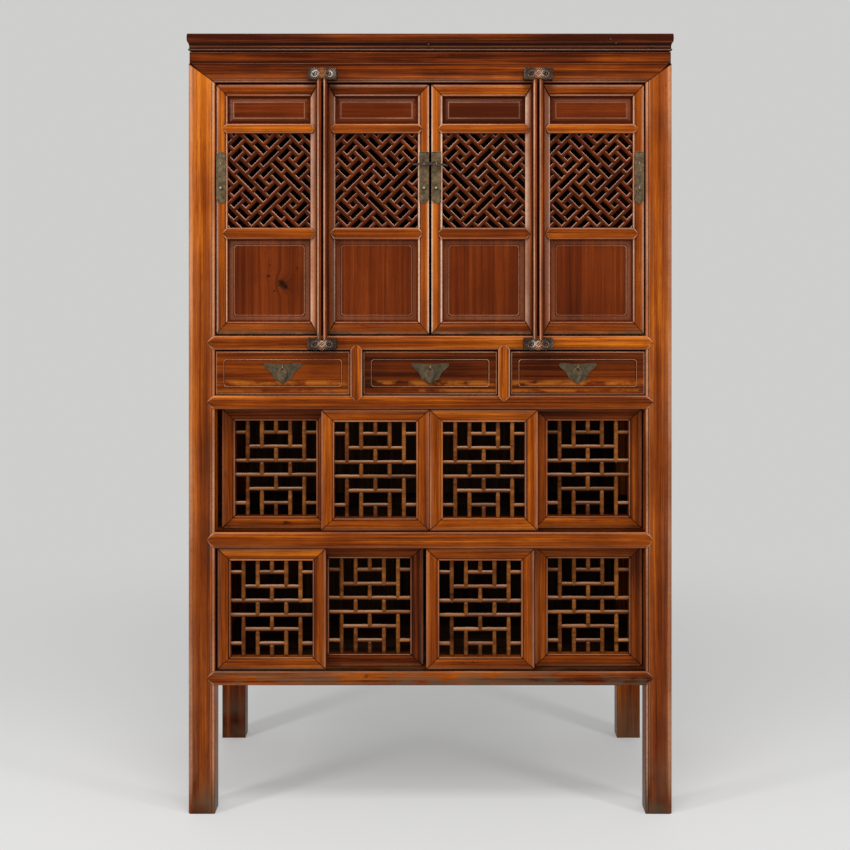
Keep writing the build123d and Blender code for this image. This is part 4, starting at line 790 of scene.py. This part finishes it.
def stick_tree():
    """Turns centre lines into sticks: each swells at its ends and wavers, and carries its own grain.

    Faces that point up are made paler and faces that point down darker: painted highlight and painted shade.
    """
    g = Tree(bpy.data.node_groups.new("sticks", "GeometryNodeTree"))
    for kind, *names in (
        ("Geometry", "Geometry"), ("Int", "Rings", "Sides", "Seed"), ("Material", "Material"),
        ("Float", "Half Width", "Half Depth", "Swelling", "Rounding", "Waver", "Squareness", "Wear"),
    ):
        for name in names:
            g.tree.interface.new_socket(name, in_out="INPUT", socket_type="NodeSocket" + kind)
    g.tree.interface.new_socket("Geometry", in_out="OUTPUT", socket_type="NodeSocketGeometry")

    def stored(shape, name, value, kind="FLOAT"):
        inputs = {"Geometry": shape, "Name": name, "Value": value}
        return g.put("GeometryNodeStoreNamedAttribute", inputs, data_type=kind, domain="POINT")

    given = g.add("NodeGroupInput").outputs
    place = g.put("GeometryNodeInputPosition")
    line = g.put("GeometryNodeMeshToCurve", {"Mesh": given["Geometry"]})
    line = g.put("GeometryNodeSetCurveNormal", {"Curve": line, "Normal": (0, -1, 0)}, mode="FREE")
    line = g.put("GeometryNodeResampleCurve", {"Curve": line, "Count": given["Rings"]})
    spline = g.add("GeometryNodeSplineParameter").outputs
    number = g.put("GeometryNodeCurveOfPoint", (), "Curve Index")
    drawn = g.put("FunctionNodeRandomValue", {"ID": number, "Seed": given["Seed"], 0: (0, 0, 0), 1: (9, 9, 9)},
                  data_type="FLOAT_VECTOR")
    along = g.vector("ADD", drawn, g.put("ShaderNodeCombineXYZ", {"X": spline["Length"]}))
    line = stored(line, "grain", along, "FLOAT_VECTOR")
    tone = g.put("FunctionNodeRandomValue", {"ID": number, "Seed": 5, 2: 0.3, 3: 0.8}, 1, data_type="FLOAT")
    line = stored(line, "tone", tone)

    centred = g.maths("ABSOLUTE", g.minus(g.times(spline["Factor"], 2), 1))
    swelling = g.times(g.minus(g.maths("POWER", centred, 2.5), 0.4), given["Swelling"])
    ended = g.times(g.maths("POWER", centred, 40), given["Rounding"])
    wavering = g.times(g.minus(g.noise(place, 42), 0.5), given["Waver"])
    swell = g.plus(g.plus(g.minus(swelling, ended), wavering), 1)
    ring = g.put("GeometryNodeCurvePrimitiveCircle", {"Resolution": given["Sides"], "Radius": 1})
    at = g.add("ShaderNodeSeparateXYZ", {0: place}).outputs
    squared = {}
    for axis, half in (("X", given["Half Width"]), ("Y", given["Half Depth"])):
        strength = g.maths("POWER", g.maths("ABSOLUTE", at[axis]), given["Squareness"])
        squared[axis] = g.times(g.times(g.maths("SIGN", at[axis]), strength), half)
    squared = g.put("ShaderNodeCombineXYZ", squared)
    ring = g.put("GeometryNodeSetPosition", {"Geometry": ring, "Position": squared})
    sweep = {"Curve": line, "Profile Curve": ring, "Scale": swell}
    solid = g.put("GeometryNodeCurveToMesh", {**sweep, "Fill Caps": True})

    carried = g.put("GeometryNodeInputNamedAttribute", {"Name": "grain"}, data_type="FLOAT_VECTOR")
    moved = g.vector("ADD", carried, g.vector("MULTIPLY", place, (0, 1, 1)))
    solid = stored(solid, "grain", moved, "FLOAT_VECTOR")
    tube, outwards = g.put("GeometryNodeCurveToMesh", sweep), g.put("GeometryNodeInputNormal")
    sampled = {"Geometry": tube, "Value": outwards, "Index": g.put("GeometryNodeInputIndex")}
    outwards = g.put("GeometryNodeSampleIndex", sampled, data_type="FLOAT_VECTOR", domain="POINT")
    # Painted light: the more a face points up, the paler it is made, and the more it points down, the darker.
    up = g.put("ShaderNodeSeparateXYZ", {0: outwards}, "Z")
    solid = stored(solid, "wear_and_light", g.times(g.minus(up, 0.15), given["Wear"]))
    solid = g.put("GeometryNodeSetShadeSmooth", {"Geometry": solid})
    solid = g.put("GeometryNodeRealizeInstances", {"Geometry": solid})
    solid = g.put("GeometryNodeSetMaterial", {"Geometry": solid, "Material": given["Material"]})
    g.fill(g.add("NodeGroupOutput").inputs["Geometry"], solid)
    return g.tree


STICKS = stick_tree()


def lattice(name, middle, lines, sizes, seed, body, node):
    """Grows sticks on centre lines of (x0, z0, x1, z1) about a middle point, and keeps them as a plain mesh.

    The lines are in millimetres. Upright sticks lie a little in front of the others.
    """
    ends = [(middle[0] + x, middle[1] - 0.9 * (x0 == x1), middle[2] + z)
            for x0, z0, x1, z1 in lines for x, z in ((x0, z0), (x1, z1))]
    mesh = bpy.data.meshes.new(name + "_lines")
    mesh.from_pydata((np.array(ends) * 0.001).tolist(), [(k, k + 1) for k in range(0, len(ends), 2)], [])
    piece = bpy.data.objects.new(name, mesh)
    bpy.context.scene.collection.objects.link(piece)
    modifier = piece.modifiers.new("sticks", "NODES")
    modifier.node_group = STICKS
    given = {**sizes, "Seed": seed}
    for item in STICKS.interface.items_tree:
        if item.in_out == "INPUT" and item.name in given:
            modifier[item.identifier] = given[item.name]
    grown = bpy.data.meshes.new_from_object(piece.evaluated_get(bpy.context.evaluated_depsgraph_get()))
    piece.modifiers.remove(modifier)
    piece.data = grown
    grown.name = name
    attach(piece, body)
    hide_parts(node)


def fret_lines(half_width, half_height):
    """Centre lines of the fret's slips about its middle, cut off just inside the frame.

    u runs down to the right and v up to the right, in steps of the pitch. Pinwheels of four slips stand at
    every fourth step both ways and turn in alternate directions, with a long narrow cell between each four.
    Each slip stops just inside the edges of those that it butts against.
    """
    slips = []
    for u in range(-12, 13, 4):
        for v in range(-12, 13, 4):
            turn = -1 if (u + v) % 8 else 1
            for side in (-1, 1):
                slips += [(u + side * 0.5, v - turn * side * 0.5, 2, 1),
                          (u + turn * side * 0.5, v + side * 0.5, 2, -1)]
                if turn > 0:
                    slips += [(u + 2, v + 2 + side * 0.5, 7, -1), (u + 2 + side * 1.5, v + 2, 1, 1)]
                else:
                    slips += [(u + 2 + side * 0.5, v + 2, 7, 1), (u + 2, v + 2 + side * 1.5, 1, -1)]
    lines = []
    for u, v, steps, slant in slips:
        x, z, half = FRET_STEP * (u + v), FRET_STEP * (v - u), steps * FRET_STEP / 2 - SHORT
        first = max(-half, -half_width - x, (-half_height - z) if slant > 0 else (z - half_height))
        last = min(half, half_width - x, (half_height - z) if slant > 0 else (z + half_height))
        if last - first > SCRAP:
            lines.append((x + first, z + slant * first, x + last, z + slant * last))
    return lines


for number, side in LEAF_WAYS.items():
    node = f"leaf_{number}_lattice"
    low, high = limits(node)
    half = (high - low) / 2 + LET_IN
    lines = [(side * x0, z0, side * x1, z1) for x0, z0, x1, z1 in fret_lines(half[0], half[2])]
    lattice(f"leaf_{number}_fret_slips", (low + high) / 2, lines, FRET_SLIPS, number, f"leaf_{number}", node)

# Sliding doors. Eight doors slide on two tracks a row. Each is a mitred frame, with a tongue above and
# below that runs in the tracks, round a lattice of round sticks that are shaped like thin bamboo.

SLIDER_STILE, SLIDER_RAIL, SLIDER_T = 29.5, 27.5, 20.0
TONGUE_T, TONGUE_LOW, TONGUE_HIGH = 8.0, 5.0, 8.0
CELL, STICK, STICK_T = 23.9, 8.3, 9.0
SLIDER_TONES = {"upper": (0.42, 0.62, 0.62, 0.42), "lower": (0.48, 0.3, 0.48, 0.42)}
SLIDER_SEEDS = {"upper": 10, "lower": 20}
SLIDER_WOOD = wood("slider_lacquer", streaks=1.3)
STICK_WOOD = wood(
    "stick_lacquer",
    [(0.05, (0.034, 0.009, 0.0025)), (0.4, (0.13, 0.036, 0.007)), (0.75, (0.26, 0.085, 0.017)),
     (1, (0.42, 0.16, 0.035))],
    worn_and_sheen=(0.52, 0.30, 0.19), gloss=0.3,
)
# The round sticks are painted paler on their upper sides as a highlight and darker below as shade, less
# strongly than the fret.
ROUND_STICKS = {
    "Half Width": STICK / 2000, "Half Depth": STICK_T / 2000, "Swelling": -0.1, "Rounding": 0.3,
    "Waver": 0.35, "Squareness": 0.95, "Wear": 1.1, "Rings": 14, "Sides": 10, "Material": STICK_WOOD,
}
# Half of a door's pattern, which is mirrored: each stick's own line, and the lines where it starts and
# ends. Lines are numbered 0 to 6 from the opening's left edge, and 0 to 7 from its upper one.
UPRIGHTS = [(3, 0, 1), (2, 0, 2), (1, 0, 3), (3, 2, 3), (2, 3, 4), (3, 4, 5), (1, 4, 7), (2, 5, 7), (3, 6, 7)]
CROSSES = [(1, 0, 1), (1, 2, 4), (2, 1, 5), (3, 0, 6), (4, 0, 6), (5, 1, 5), (6, 0, 1), (6, 2, 4)]


def lattice_line(number, reach):
    """Where the line of this number lies from one edge of the opening; the last ones enter the frame."""
    return min(max(number * (CELL + STICK) - STICK / 2, -LET_IN), reach + LET_IN)


def door_lines(half_width, half_height):
    """Centre lines of a sliding door's sticks about the middle of its opening.

    An upright's lower end lies over the cross stick it meets, which is drawn in to either side of it. The
    sticks that stand or are centred on the middle line are drawn once.
    """
    def across(k, side):
        return side * (lattice_line(k, 2 * half_width) - half_width)

    def down(k):
        return half_height - lattice_line(k, 2 * half_height)

    lines, feet = [], []
    for side in (-1, 1):
        for line, start, end in UPRIGHTS:
            if line != 3 or side > 0:
                x = across(line, side)
                lines.append((x, down(start) - (1.5 if start else 0), x, down(end) - (3.4 if end < 7 else 0)))
                feet += [(x, down(k)) for k in range(start + 1, end + 1)]
    for side in (-1, 1):
        for line, start, end in CROSSES:
            if start + end != 6 or side > 0:
                z, ends = down(line), sorted(across(k, side) for k in (start, end))
                cuts = sorted({x for x, foot in feet if foot == z and ends[0] + 1 < x < ends[1] - 1})
                stops = [ends[0], *cuts, ends[1]]
                lines += [(x0 - 2, z, x1 + 2, z) for x0, x1 in zip(stops, stops[1:])]
    return lines


stile, rail = (framing(w, SLIDER_T, sink=2.6, bead_w=4.4, rubbed_and_sheen=0.42) for w in (SLIDER_STILE, SLIDER_RAIL))
stile_cut, rail_cut = cut_by(stile, SLIDER_RAIL), cut_by(rail, SLIDER_STILE)
for row, tones_in_row in SLIDER_TONES.items():
    for number, usual in enumerate(tones_in_row, 1):
        node = f"{row}_sliding_door_{number}"
        low, high = limits(node)
        bottom, top = low[2] + TONGUE_LOW, high[2] - TONGUE_HIGH
        door_w, door_h = high[0] - low[0], top - bottom
        door = Workpiece(node + "_frame")
        tones = [usual + door.chance.uniform(-0.12, 0.12) for _ in range(4)]
        for x, way in ((low[0], 1), (high[0], -1)):
            moulding(door, (x, low[1], bottom), (UPRIGHT, (way, 0, 0), ALONG_Y), door_h, stile, stile_cut,
                     stile_cut, tone=tones.pop())
        for z, way in ((bottom, 1), (top, -1)):
            moulding(door, (low[0], low[1], z), (ALONG_X, (0, 0, way), ALONG_Y), door_w, rail, rail_cut,
                     rail_cut, tone=tones.pop())
        middle = ((low[0] + high[0]) / 2, low[1] + SLIDER_T / 2, (bottom + top) / 2)
        for z0, z1 in ((low[2], bottom + 1), (top - 1, high[2])):
            door.board((low[0], middle[1] - TONGUE_T / 2, z0), (high[0], middle[1] + TONGUE_T / 2, z1))
        door.done(SLIDER_WOOD, node, body=node)
        lines = door_lines(door_w / 2 - SLIDER_STILE, door_h / 2 - SLIDER_RAIL)
        lattice(node + "_sticks", middle, lines, ROUND_STICKS, number + SLIDER_SEEDS[row], node, node)

# Drawers. The front is a thick board with a fine line standing near its edge; the box behind it is four
# thin boards, nailed.

DRAWER_FRONT_T, BOX_T, BOX_BOTTOM_T, BOX_BOTTOM_UP = 20.0, 10, 6, 6
# The pale outer border and standing line are partly rubbed and partly painted highlight, and the dark quirks
# beside the line are dirt and painted shade.
DRAWER_LINED = [(1.2, DRAWER_FRONT_T, 0), (0, DRAWER_FRONT_T - 1, 0), (0, 1.6, 0.3), (0.5, 0.5, 0.9),
                (1.6, 0, 0.6), (3.5, 0, 0), (15.6, 0, 0), (16.8, 0.25, -0.8), (17.3, -0.7, 0.2),
                (18.2, -1.45, 0.95), (19.1, -0.7, 0.2), (19.7, 0.25, -0.9), (21, 0, -0.2), (27, 0, 0),
                (36, 0, 0)]
DRAWER_WOOD = wood("drawer_lacquer", gloss=0.26,
                   marks=((0.970, 0.010, (0.42, 0.12, 0.013)), (0.953, 0.006, (0.36, 0.10, 0.012))))
for name, tone in (("left", 0.36), ("middle", 0.16), ("right", 0.06)):
    low, high = limits(f"drawer_{name}_front")
    front = Workpiece(f"drawer_{name}_front_wood")
    middle = ((low[0] + high[0]) / 2, high[1] - DRAWER_FRONT_T, (low[2] + high[2]) / 2)
    panel(front, middle, FACING, high[0] - low[0], high[2] - low[2], DRAWER_LINED, tone, radius=6, square_to=8)
    front.done(DRAWER_WOOD, f"drawer_{name}_front", body=f"drawer_{name}")
    low, high = limits(f"drawer_{name}_box")
    inner_low, inner_high, floor_z = low[0] + BOX_T, high[0] - BOX_T, low[2] + BOX_BOTTOM_UP
    box = Workpiece(f"drawer_{name}_box_boards")
    for x0, x1 in ((low[0], inner_low), (inner_high, high[0])):
        box.board((x0, low[1], low[2]), (x1, high[1], high[2]), 1, 0.6)
    box.board((inner_low, high[1] - BOX_T, low[2]), (inner_high, high[1], high[2]), ease=0.6)
    box.board((inner_low, low[1], floor_z), (inner_high, high[1] - BOX_T, floor_z + BOX_BOTTOM_T), ease=0.4)
    box.done(INNER_WOOD, f"drawer_{name}_box", body=f"drawer_{name}", slot="inner_wood")

# Brass. Sheet plates are pinned to the drawers and to the leaves' free stiles, with wire staples riveted
# through them. The drawers' pulls and one small pendant hang on staples. The metal has gone dull
# green-brown. A tone near 1 reddens it, and one near 0 darkens it.

brass = Finish("aged_brass")
where, rub_and_light, tint = brass.placed(), brass.carried("wear_and_light"), brass.carried("tone")
patina = brass.noise(where, 95, 5, 0.65)
specks = brass.noise(where, 620, 3, 0.6)
metal = brass.ramp(patina, [(0.3, (0.038, 0.024, 0.011)), (0.5, (0.112, 0.073, 0.034)),
                            (0.72, (0.20, 0.132, 0.066))])
# The pale colour is rubbed brass and also painted highlight on studs, staples and pendant rims. The near-black
# is painted shadow on the studs' foot and lower right and down the pendants' right side, and it also darkens
# the plates just inside their edges.
for share, colour in (
    (brass.spread(specks, 0.56, 0.7, 0, 0.5), (0.20, 0.17, 0.11)),
    (brass.spread(rub_and_light, 0.2, 1, 0, 0.75), (0.42, 0.33, 0.18)),
    (brass.spread(rub_and_light, -0.1, -0.9, 0, 0.85), (0.012, 0.010, 0.007)),
    (brass.spread(tint, 0.8, 1), (0.40, 0.17, 0.06)),
    (brass.spread(tint, 0.4, 0.1, 0, 0.5), (0.042, 0.031, 0.014)),
):
    metal = brass.mixed(share, metal, colour)
dull = brass.plus(brass.spread(patina, 0.3, 0.7, 0.34, 0.58), brass.times(specks, 0.1))
dents = brass.bumped(brass.noise(where, 170), 0.35, 0.0008)
pitted = brass.bumped(specks, 0.25, 0.0003, Normal=dents)
AGED_BRASS = brass.shade(Base_Color=metal, Roughness=dull, Normal=pitted, Metallic=0.55)

PLATE_T, STAPLE_R, STAPLE_NECK, EYE_R, HOLE_R = 1.5, 0.95, 1.3, 3.5, 2.0


def through(points, count, scale):
    """Points evenly spread on a smooth curve through a few given ones, scaled as said."""
    points = np.multiply(points, scale)
    steps = np.concatenate([[0], np.cumsum(np.linalg.norm(np.diff(points, axis=0), axis=1))])
    padded = np.vstack([2 * points[0] - points[1], points, 2 * points[-1] - points[-2]])
    found = []
    for s in np.linspace(0, steps[-1], count):
        k = min(int(np.searchsorted(steps, s, side="right")) - 1, len(points) - 2)
        t = (s - steps[k]) / (steps[k + 1] - steps[k])
        a, b, c, d = padded[k:k + 4]
        found.append(0.5 * (2 * b + (c - a) * t + (2 * a - 5 * b + 4 * c - d) * t**2
                            + (3 * b - a - 3 * c + d) * t**3))
    return np.array(found)


def mirrored(half):
    """A whole outline from its right half, which starts and ends on the middle line."""
    return np.vstack([half, (half * (-1, 1))[-2:0:-1]])


def plate(piece, middle, outline, tone, dish=0.0):
    """A sheet of metal cut to an outline of (across, up) points, with a filed edge."""
    outline = np.array(outline, float)
    after = np.roll(outline, -1, axis=0)
    run = after - np.roll(outline, 1, axis=0)
    area = np.sum(outline[:, 0] * after[:, 1] - after[:, 0] * outline[:, 1])
    out = np.sign(area) * run[:, ::-1] * (1, -1) / np.linalg.norm(run, axis=1)[:, None]
    edge = [(0, PLATE_T, 0), (0, 0.45, -0.2), (0.15, 0.15, 0.45), (0.5, 0, 0.1), (1.1, dish, -0.45),
            (2.3, dish, 0)]
    piece.layers(middle, FACING, [(outline - out * inset, deep, worn_and_sheen) for inset, deep, worn_and_sheen in edge], tone)


def wire(piece, path, radius, wear_and_light=0.3, tone=None):
    """A round wire along a path of points."""
    path = np.array(path, float)
    rings = []
    side = None
    for k, point in enumerate(path):
        ahead = path[min(k + 1, len(path) - 1)] - path[max(k - 1, 0)]
        ahead /= np.linalg.norm(ahead)
        if side is None:
            side = np.cross(ahead, (0.3, 0.1, 1) if abs(ahead[2]) < 0.9 else ALONG_X)
        side = side - ahead * np.dot(side, ahead)
        side /= np.linalg.norm(side)
        other = np.cross(ahead, side)
        rings.append([point + a * side + b * other for a, b in arc((0, 0), radius, 0, 315, 8)])
    piece.form((0, 0, 0), np.eye(3), rings, wear_and_light, tone)


def staple(piece, x, y, z, tone=0.5):
    """A bent wire that stands out of a plate in a half ring, upright."""
    bend = arc((STAPLE_NECK, 0), EYE_R, 90, -90, 11)
    path = [(x, y + 1, z + EYE_R), *((x, y - out, z + up) for out, up in bend), (x, y + 1, z - EYE_R)]
    wire(piece, path, STAPLE_R, 0.9, tone)


def pendant(node, width, height):
    """A leaf-shaped drop, thick in the middle and thin at its edge, with a hole near its top."""
    low, high = limits(node)
    drop = Workpiece(node + "_brass")
    half = through([(0, 0), (0.2, 0.03), (0.34, 0.11), (0.5, 0.42), (0.38, 0.76), (0, 1)], 19,
                   (width, -height))
    outline = mirrored(half + (0, 2 * HOLE_R))
    turns = np.arctan2(outline[:, 1], outline[:, 0])
    hole = HOLE_R * np.stack([np.cos(turns), np.sin(turns)], axis=1)
    profile = []
    for share, rise, worn_and_sheen in (
        (0, 0, -0.9), (0.02, 0.6, -0.3), (0.25, 0.9, -0.1), (0.5, 1, 0), (0.74, 0.85, 0.05), (0.84, 0.7, 0.1),
        (0.93, 0.55, 0.3), (1, 0.3, 0.5), (1, 0, -0.5),
    ):
        flat = hole + (outline - hole) * share
        # Painted shadow: the drop's outer rim is darkened towards its right side into a dark crescent.
        shade = np.clip(flat[:, 0] / width * 2.4 + 0.1, 0, 1) ** 0.6 * np.clip(share * 4 - 2.6, 0, 1)
        profile.append((flat, high[1] + (low[1] - high[1]) * rise, worn_and_sheen * (1 - shade) - shade))
    middle = ((low[0] + high[0]) / 2, 0, high[2] - 2 * HOLE_R)
    drop.layers(middle, FACING, [*profile, profile[0]], 0.25)
    drop.done(AGED_BRASS, node, body=node, slot="aged_brass")


PULL_W, PULL_H, EYE_DROP = 85.0, 49.0, 9.0
reach = (PULL_W / 2, -PULL_H)
wings = mirrored(np.vstack([
    np.multiply([(0, 0.03), (0.3, 0.035), (0.62, 0.01)], reach),
    through([(0.85, 0), (0.985, 0.02), (1, 0.07), (0.985, 0.13), (0.93, 0.19)], 9, reach),
    through([(0.9, 0.215), (0.66, 0.4), (0.5, 0.62)], 9, reach),
    through([(0.49, 0.65), (0.47, 0.72), (0.42, 0.77), (0.32, 0.79)], 7, reach),
    through([(0.29, 0.8), (0.13, 0.87), (0, 1)], 6, reach),
]))
for name in ("left", "middle", "right"):
    low, high = limits(f"drawer_{name}_handle_plate")
    x, face_y, top = (low[0] + high[0]) / 2, high[1] - PLATE_T, high[2]
    handle = Workpiece(f"drawer_{name}_handle_brass")
    plate(handle, (x, face_y, top), wings, tone=0.1, dish=0.2)
    staple(handle, x, face_y, top - EYE_DROP, tone=1)
    handle.done(AGED_BRASS, f"drawer_{name}_handle_plate", body=f"drawer_{name}", slot="aged_brass")
    pendant(f"drawer_{name}_pull", width=23, height=36)

LOCK_W, LOCK_H, LOCK_EYE, LOCK_STUD = 21.0, 116.0, 89.0, 34.0
LOCK_R = LOCK_W / 2
# A stud's layers: radius, depth, wear and painted light, and how much more of it there is towards the upper
# left. This gives a painted highlight there, and painted shadow at the lower right and the foot.
STUD = ((5.2, 0.5, -1, 0), (5.2, -0.15, -0.8, 0.5), (4.1, -0.25, -1, 0.2), (4.3, -1.2, -0.6, 0.7),
        (3.9, -2.6, -0.1, 0.7), (2.6, -3.8, 0.5, 0.5), (1, -4.2, 1, 0.1))
upper_left = np.cos(np.radians(np.arange(0, 360, 22.5) - 135))
for number in LEAF_WAYS:
    low, high = limits(f"leaf_{number}_lock_plate")
    x, face_y, bottom = (low[0] + high[0]) / 2, high[1] - PLATE_T, low[2]
    head = [(LOCK_R, LOCK_H - 1.5), (LOCK_R - 1.5, LOCK_H), (1.5 - LOCK_R, LOCK_H), (-LOCK_R, LOCK_H - 1.5)]
    if number == 1:
        head = arc((0, LOCK_H - LOCK_R), LOCK_R, 0, 180, 15)
    lock = Workpiece(f"leaf_{number}_lock_brass")
    plate(lock, (x, face_y, bottom), arc((0, LOCK_R), LOCK_R, 180, 360, 15) + head, tone=0.5)
    staple(lock, x, face_y, bottom + LOCK_EYE)
    if number == 4:
        staple(lock, x, face_y, bottom + LOCK_STUD)
    else:
        lock.layers((x, face_y, bottom + LOCK_STUD), FACING, [
            (arc((0, 0), radius, 0, 337.5, 16), deep, worn_and_sheen + more * upper_left)
            for radius, deep, worn_and_sheen, more in STUD
        ])
    lock.done(AGED_BRASS, f"leaf_{number}_lock_plate", body=f"leaf_{number}", slot="aged_brass")
pendant("leaf_4_pendant", width=14, height=38)

# Iron. A rusty wire of two strands, twisted together, ties the middle leaves through their staples; half of
# it stays on each leaf. Four nail heads show on the cap.

TIE_REACH, TIE_LOOP, TIE_LOOP_R, TIE_TURN = 39, 26, 3.9, 9.5
rust = Finish("rusty_iron")
scale = rust.noise(rust.placed(), 420, 4, 0.7)
flaked = rust.ramp(scale, [(0.3, (0.012, 0.006, 0.004)), (0.5, (0.040, 0.017, 0.010)),
                           (0.68, (0.16, 0.075, 0.048))])
flakes = rust.bumped(scale, 0.5, 0.0004)
RUSTY_IRON = rust.shade(Base_Color=flaked, Roughness=0.75, Normal=flakes, Metallic=0.25)

for number, way, drop in ((2, -1, 2.5), (3, 1, 5.0)):
    low, high = limits(f"leaf_{number}_lock_plate")
    tie = Workpiece(f"leaf_{number}_wire_tie")
    eye_z, front = low[2] + LOCK_EYE, high[1] - PLATE_T - STAPLE_NECK - EYE_R / 2
    for strand, start, radius in ((1, 0, 1.6), (-1, math.pi, 1.9)):
        path = []
        for out in np.linspace(0.35, TIE_REACH, 70):
            loop = TIE_LOOP_R * math.sin(math.pi * out / TIE_LOOP) ** 0.8 if out < TIE_LOOP else 0
            twist = 2 * math.pi * out / TIE_TURN + start
            wrap = 1.5 * min(1, max(0, 1 - loop / 2.5)) * min(1, (TIE_REACH + 1 - out) / 12)
            sag = drop * max(0, (out - 12) / (TIE_REACH - 12)) ** 1.4
            path.append((way * out, front + wrap * math.sin(twist) - 1.2,
                         eye_z - sag + strand * loop + wrap * math.cos(twist)))
        wire(tie, path, radius)
    tie.done(RUSTY_IRON, body=f"leaf_{number}", slot="aged_brass")

low, high = limits("cap_frame")
nails = Workpiece("cap_nail_heads")
for x, z in ((-4, 13.5), (418, 16.5), (497, 9), (406, 25)):
    nails.layers((x, low[1], low[2] + z), FACING, [
        (arc((0, 0), radius, 0, 330, 12), deep, 0.2) for radius, deep in ((1.9, 5.5), (1.9, -0.6), (1.2, -1.1))
    ])
nails.done(RUSTY_IRON, slot="aged_brass")

# Studio. A pale floor that runs out into a pale grey ground, an even sky, two tall soft lamps in front at
# the sides and one above, and a camera level with the hinged doors.

GROUND = (0.62, 0.62, 0.61, 1)
floor = Finish("studio_floor")
lit = floor.shade(Base_Color=(0.86, 0.86, 0.855, 1), Roughness=0.85, Specular_IOR_Level=0.1)
fade = floor.vector("LENGTH", floor.placed(), output="Value")
fade = floor.spread(fade, 0.9, 2.6, 0.42, 1)
haze = floor.put("ShaderNodeEmission", {"Color": GROUND, "Strength": 1.0})
shown = floor.put("ShaderNodeMixShader", {0: fade, 1: floor.surface.outputs[0], 2: haze})
floor.fill(floor.tree.nodes["Material Output"].inputs["Surface"], shown)
bpy.ops.mesh.primitive_circle_add(vertices=96, radius=40, fill_type="NGON", location=(0, 0, -0.0005))
ground = bpy.context.object
ground.name = "studio_floor"
ground.data.materials.append(lit)

world = bpy.data.worlds.new("studio")
bpy.context.scene.world = world
world.use_nodes = True
sky = Tree(world.node_tree)
ray = sky.add("ShaderNodeLightPath").outputs
pale = sky.put("ShaderNodeBackground", {"Color": GROUND, "Strength": 1.0})
even = sky.put("ShaderNodeBackground", {"Color": (0.97, 0.98, 1, 1), "Strength": 0.45})
straight = sky.maths("MAXIMUM", ray["Is Camera Ray"], ray["Is Glossy Ray"])
straight = sky.maths("MAXIMUM", straight, ray["Is Transmission Ray"])
shown = sky.put("ShaderNodeMixShader", {0: straight, 1: even, 2: pale})
sky.fill(sky.tree.nodes["World Output"].inputs["Surface"], shown)

for name, place, aim, size, watts in (
    ("softbox_left", (-2.3, -1.7, 1.8), (0, 0, 1.0), (0.4, 1.7), 32),
    ("softbox_right", (2.4, -1.7, 1.7), (0, 0, 1.0), (0.4, 1.7), 27),
    ("softbox_above", (0, -1.5, 3.6), (0, -0.1, 0.9), (1.8, 0.8), 50),
):
    light = bpy.data.lights.new(name, "AREA")
    light.shape = "RECTANGLE"
    light.size, light.size_y = size
    light.energy = watts
    lamp = bpy.data.objects.new(name, light)
    lamp.location = place
    x, y, z = np.subtract(aim, place)
    lamp.rotation_euler = (math.atan2(math.hypot(x, y), -z), 0, math.atan2(-x, y))
    bpy.context.scene.collection.objects.link(lamp)

camera = bpy.data.objects.new("camera", bpy.data.cameras.new("camera"))
camera.data.lens, camera.data.sensor_width = 52.3, 36
camera.data.shift_x, camera.data.shift_y = -0.0141, -0.194
camera.location = (0.0153, -3.0165, 1.247)
camera.rotation_euler = (math.radians(90), 0, 0)
bpy.context.scene.collection.objects.link(camera)
bpy.context.scene.camera = camera
bpy.context.scene.view_settings.view_transform = "Standard"
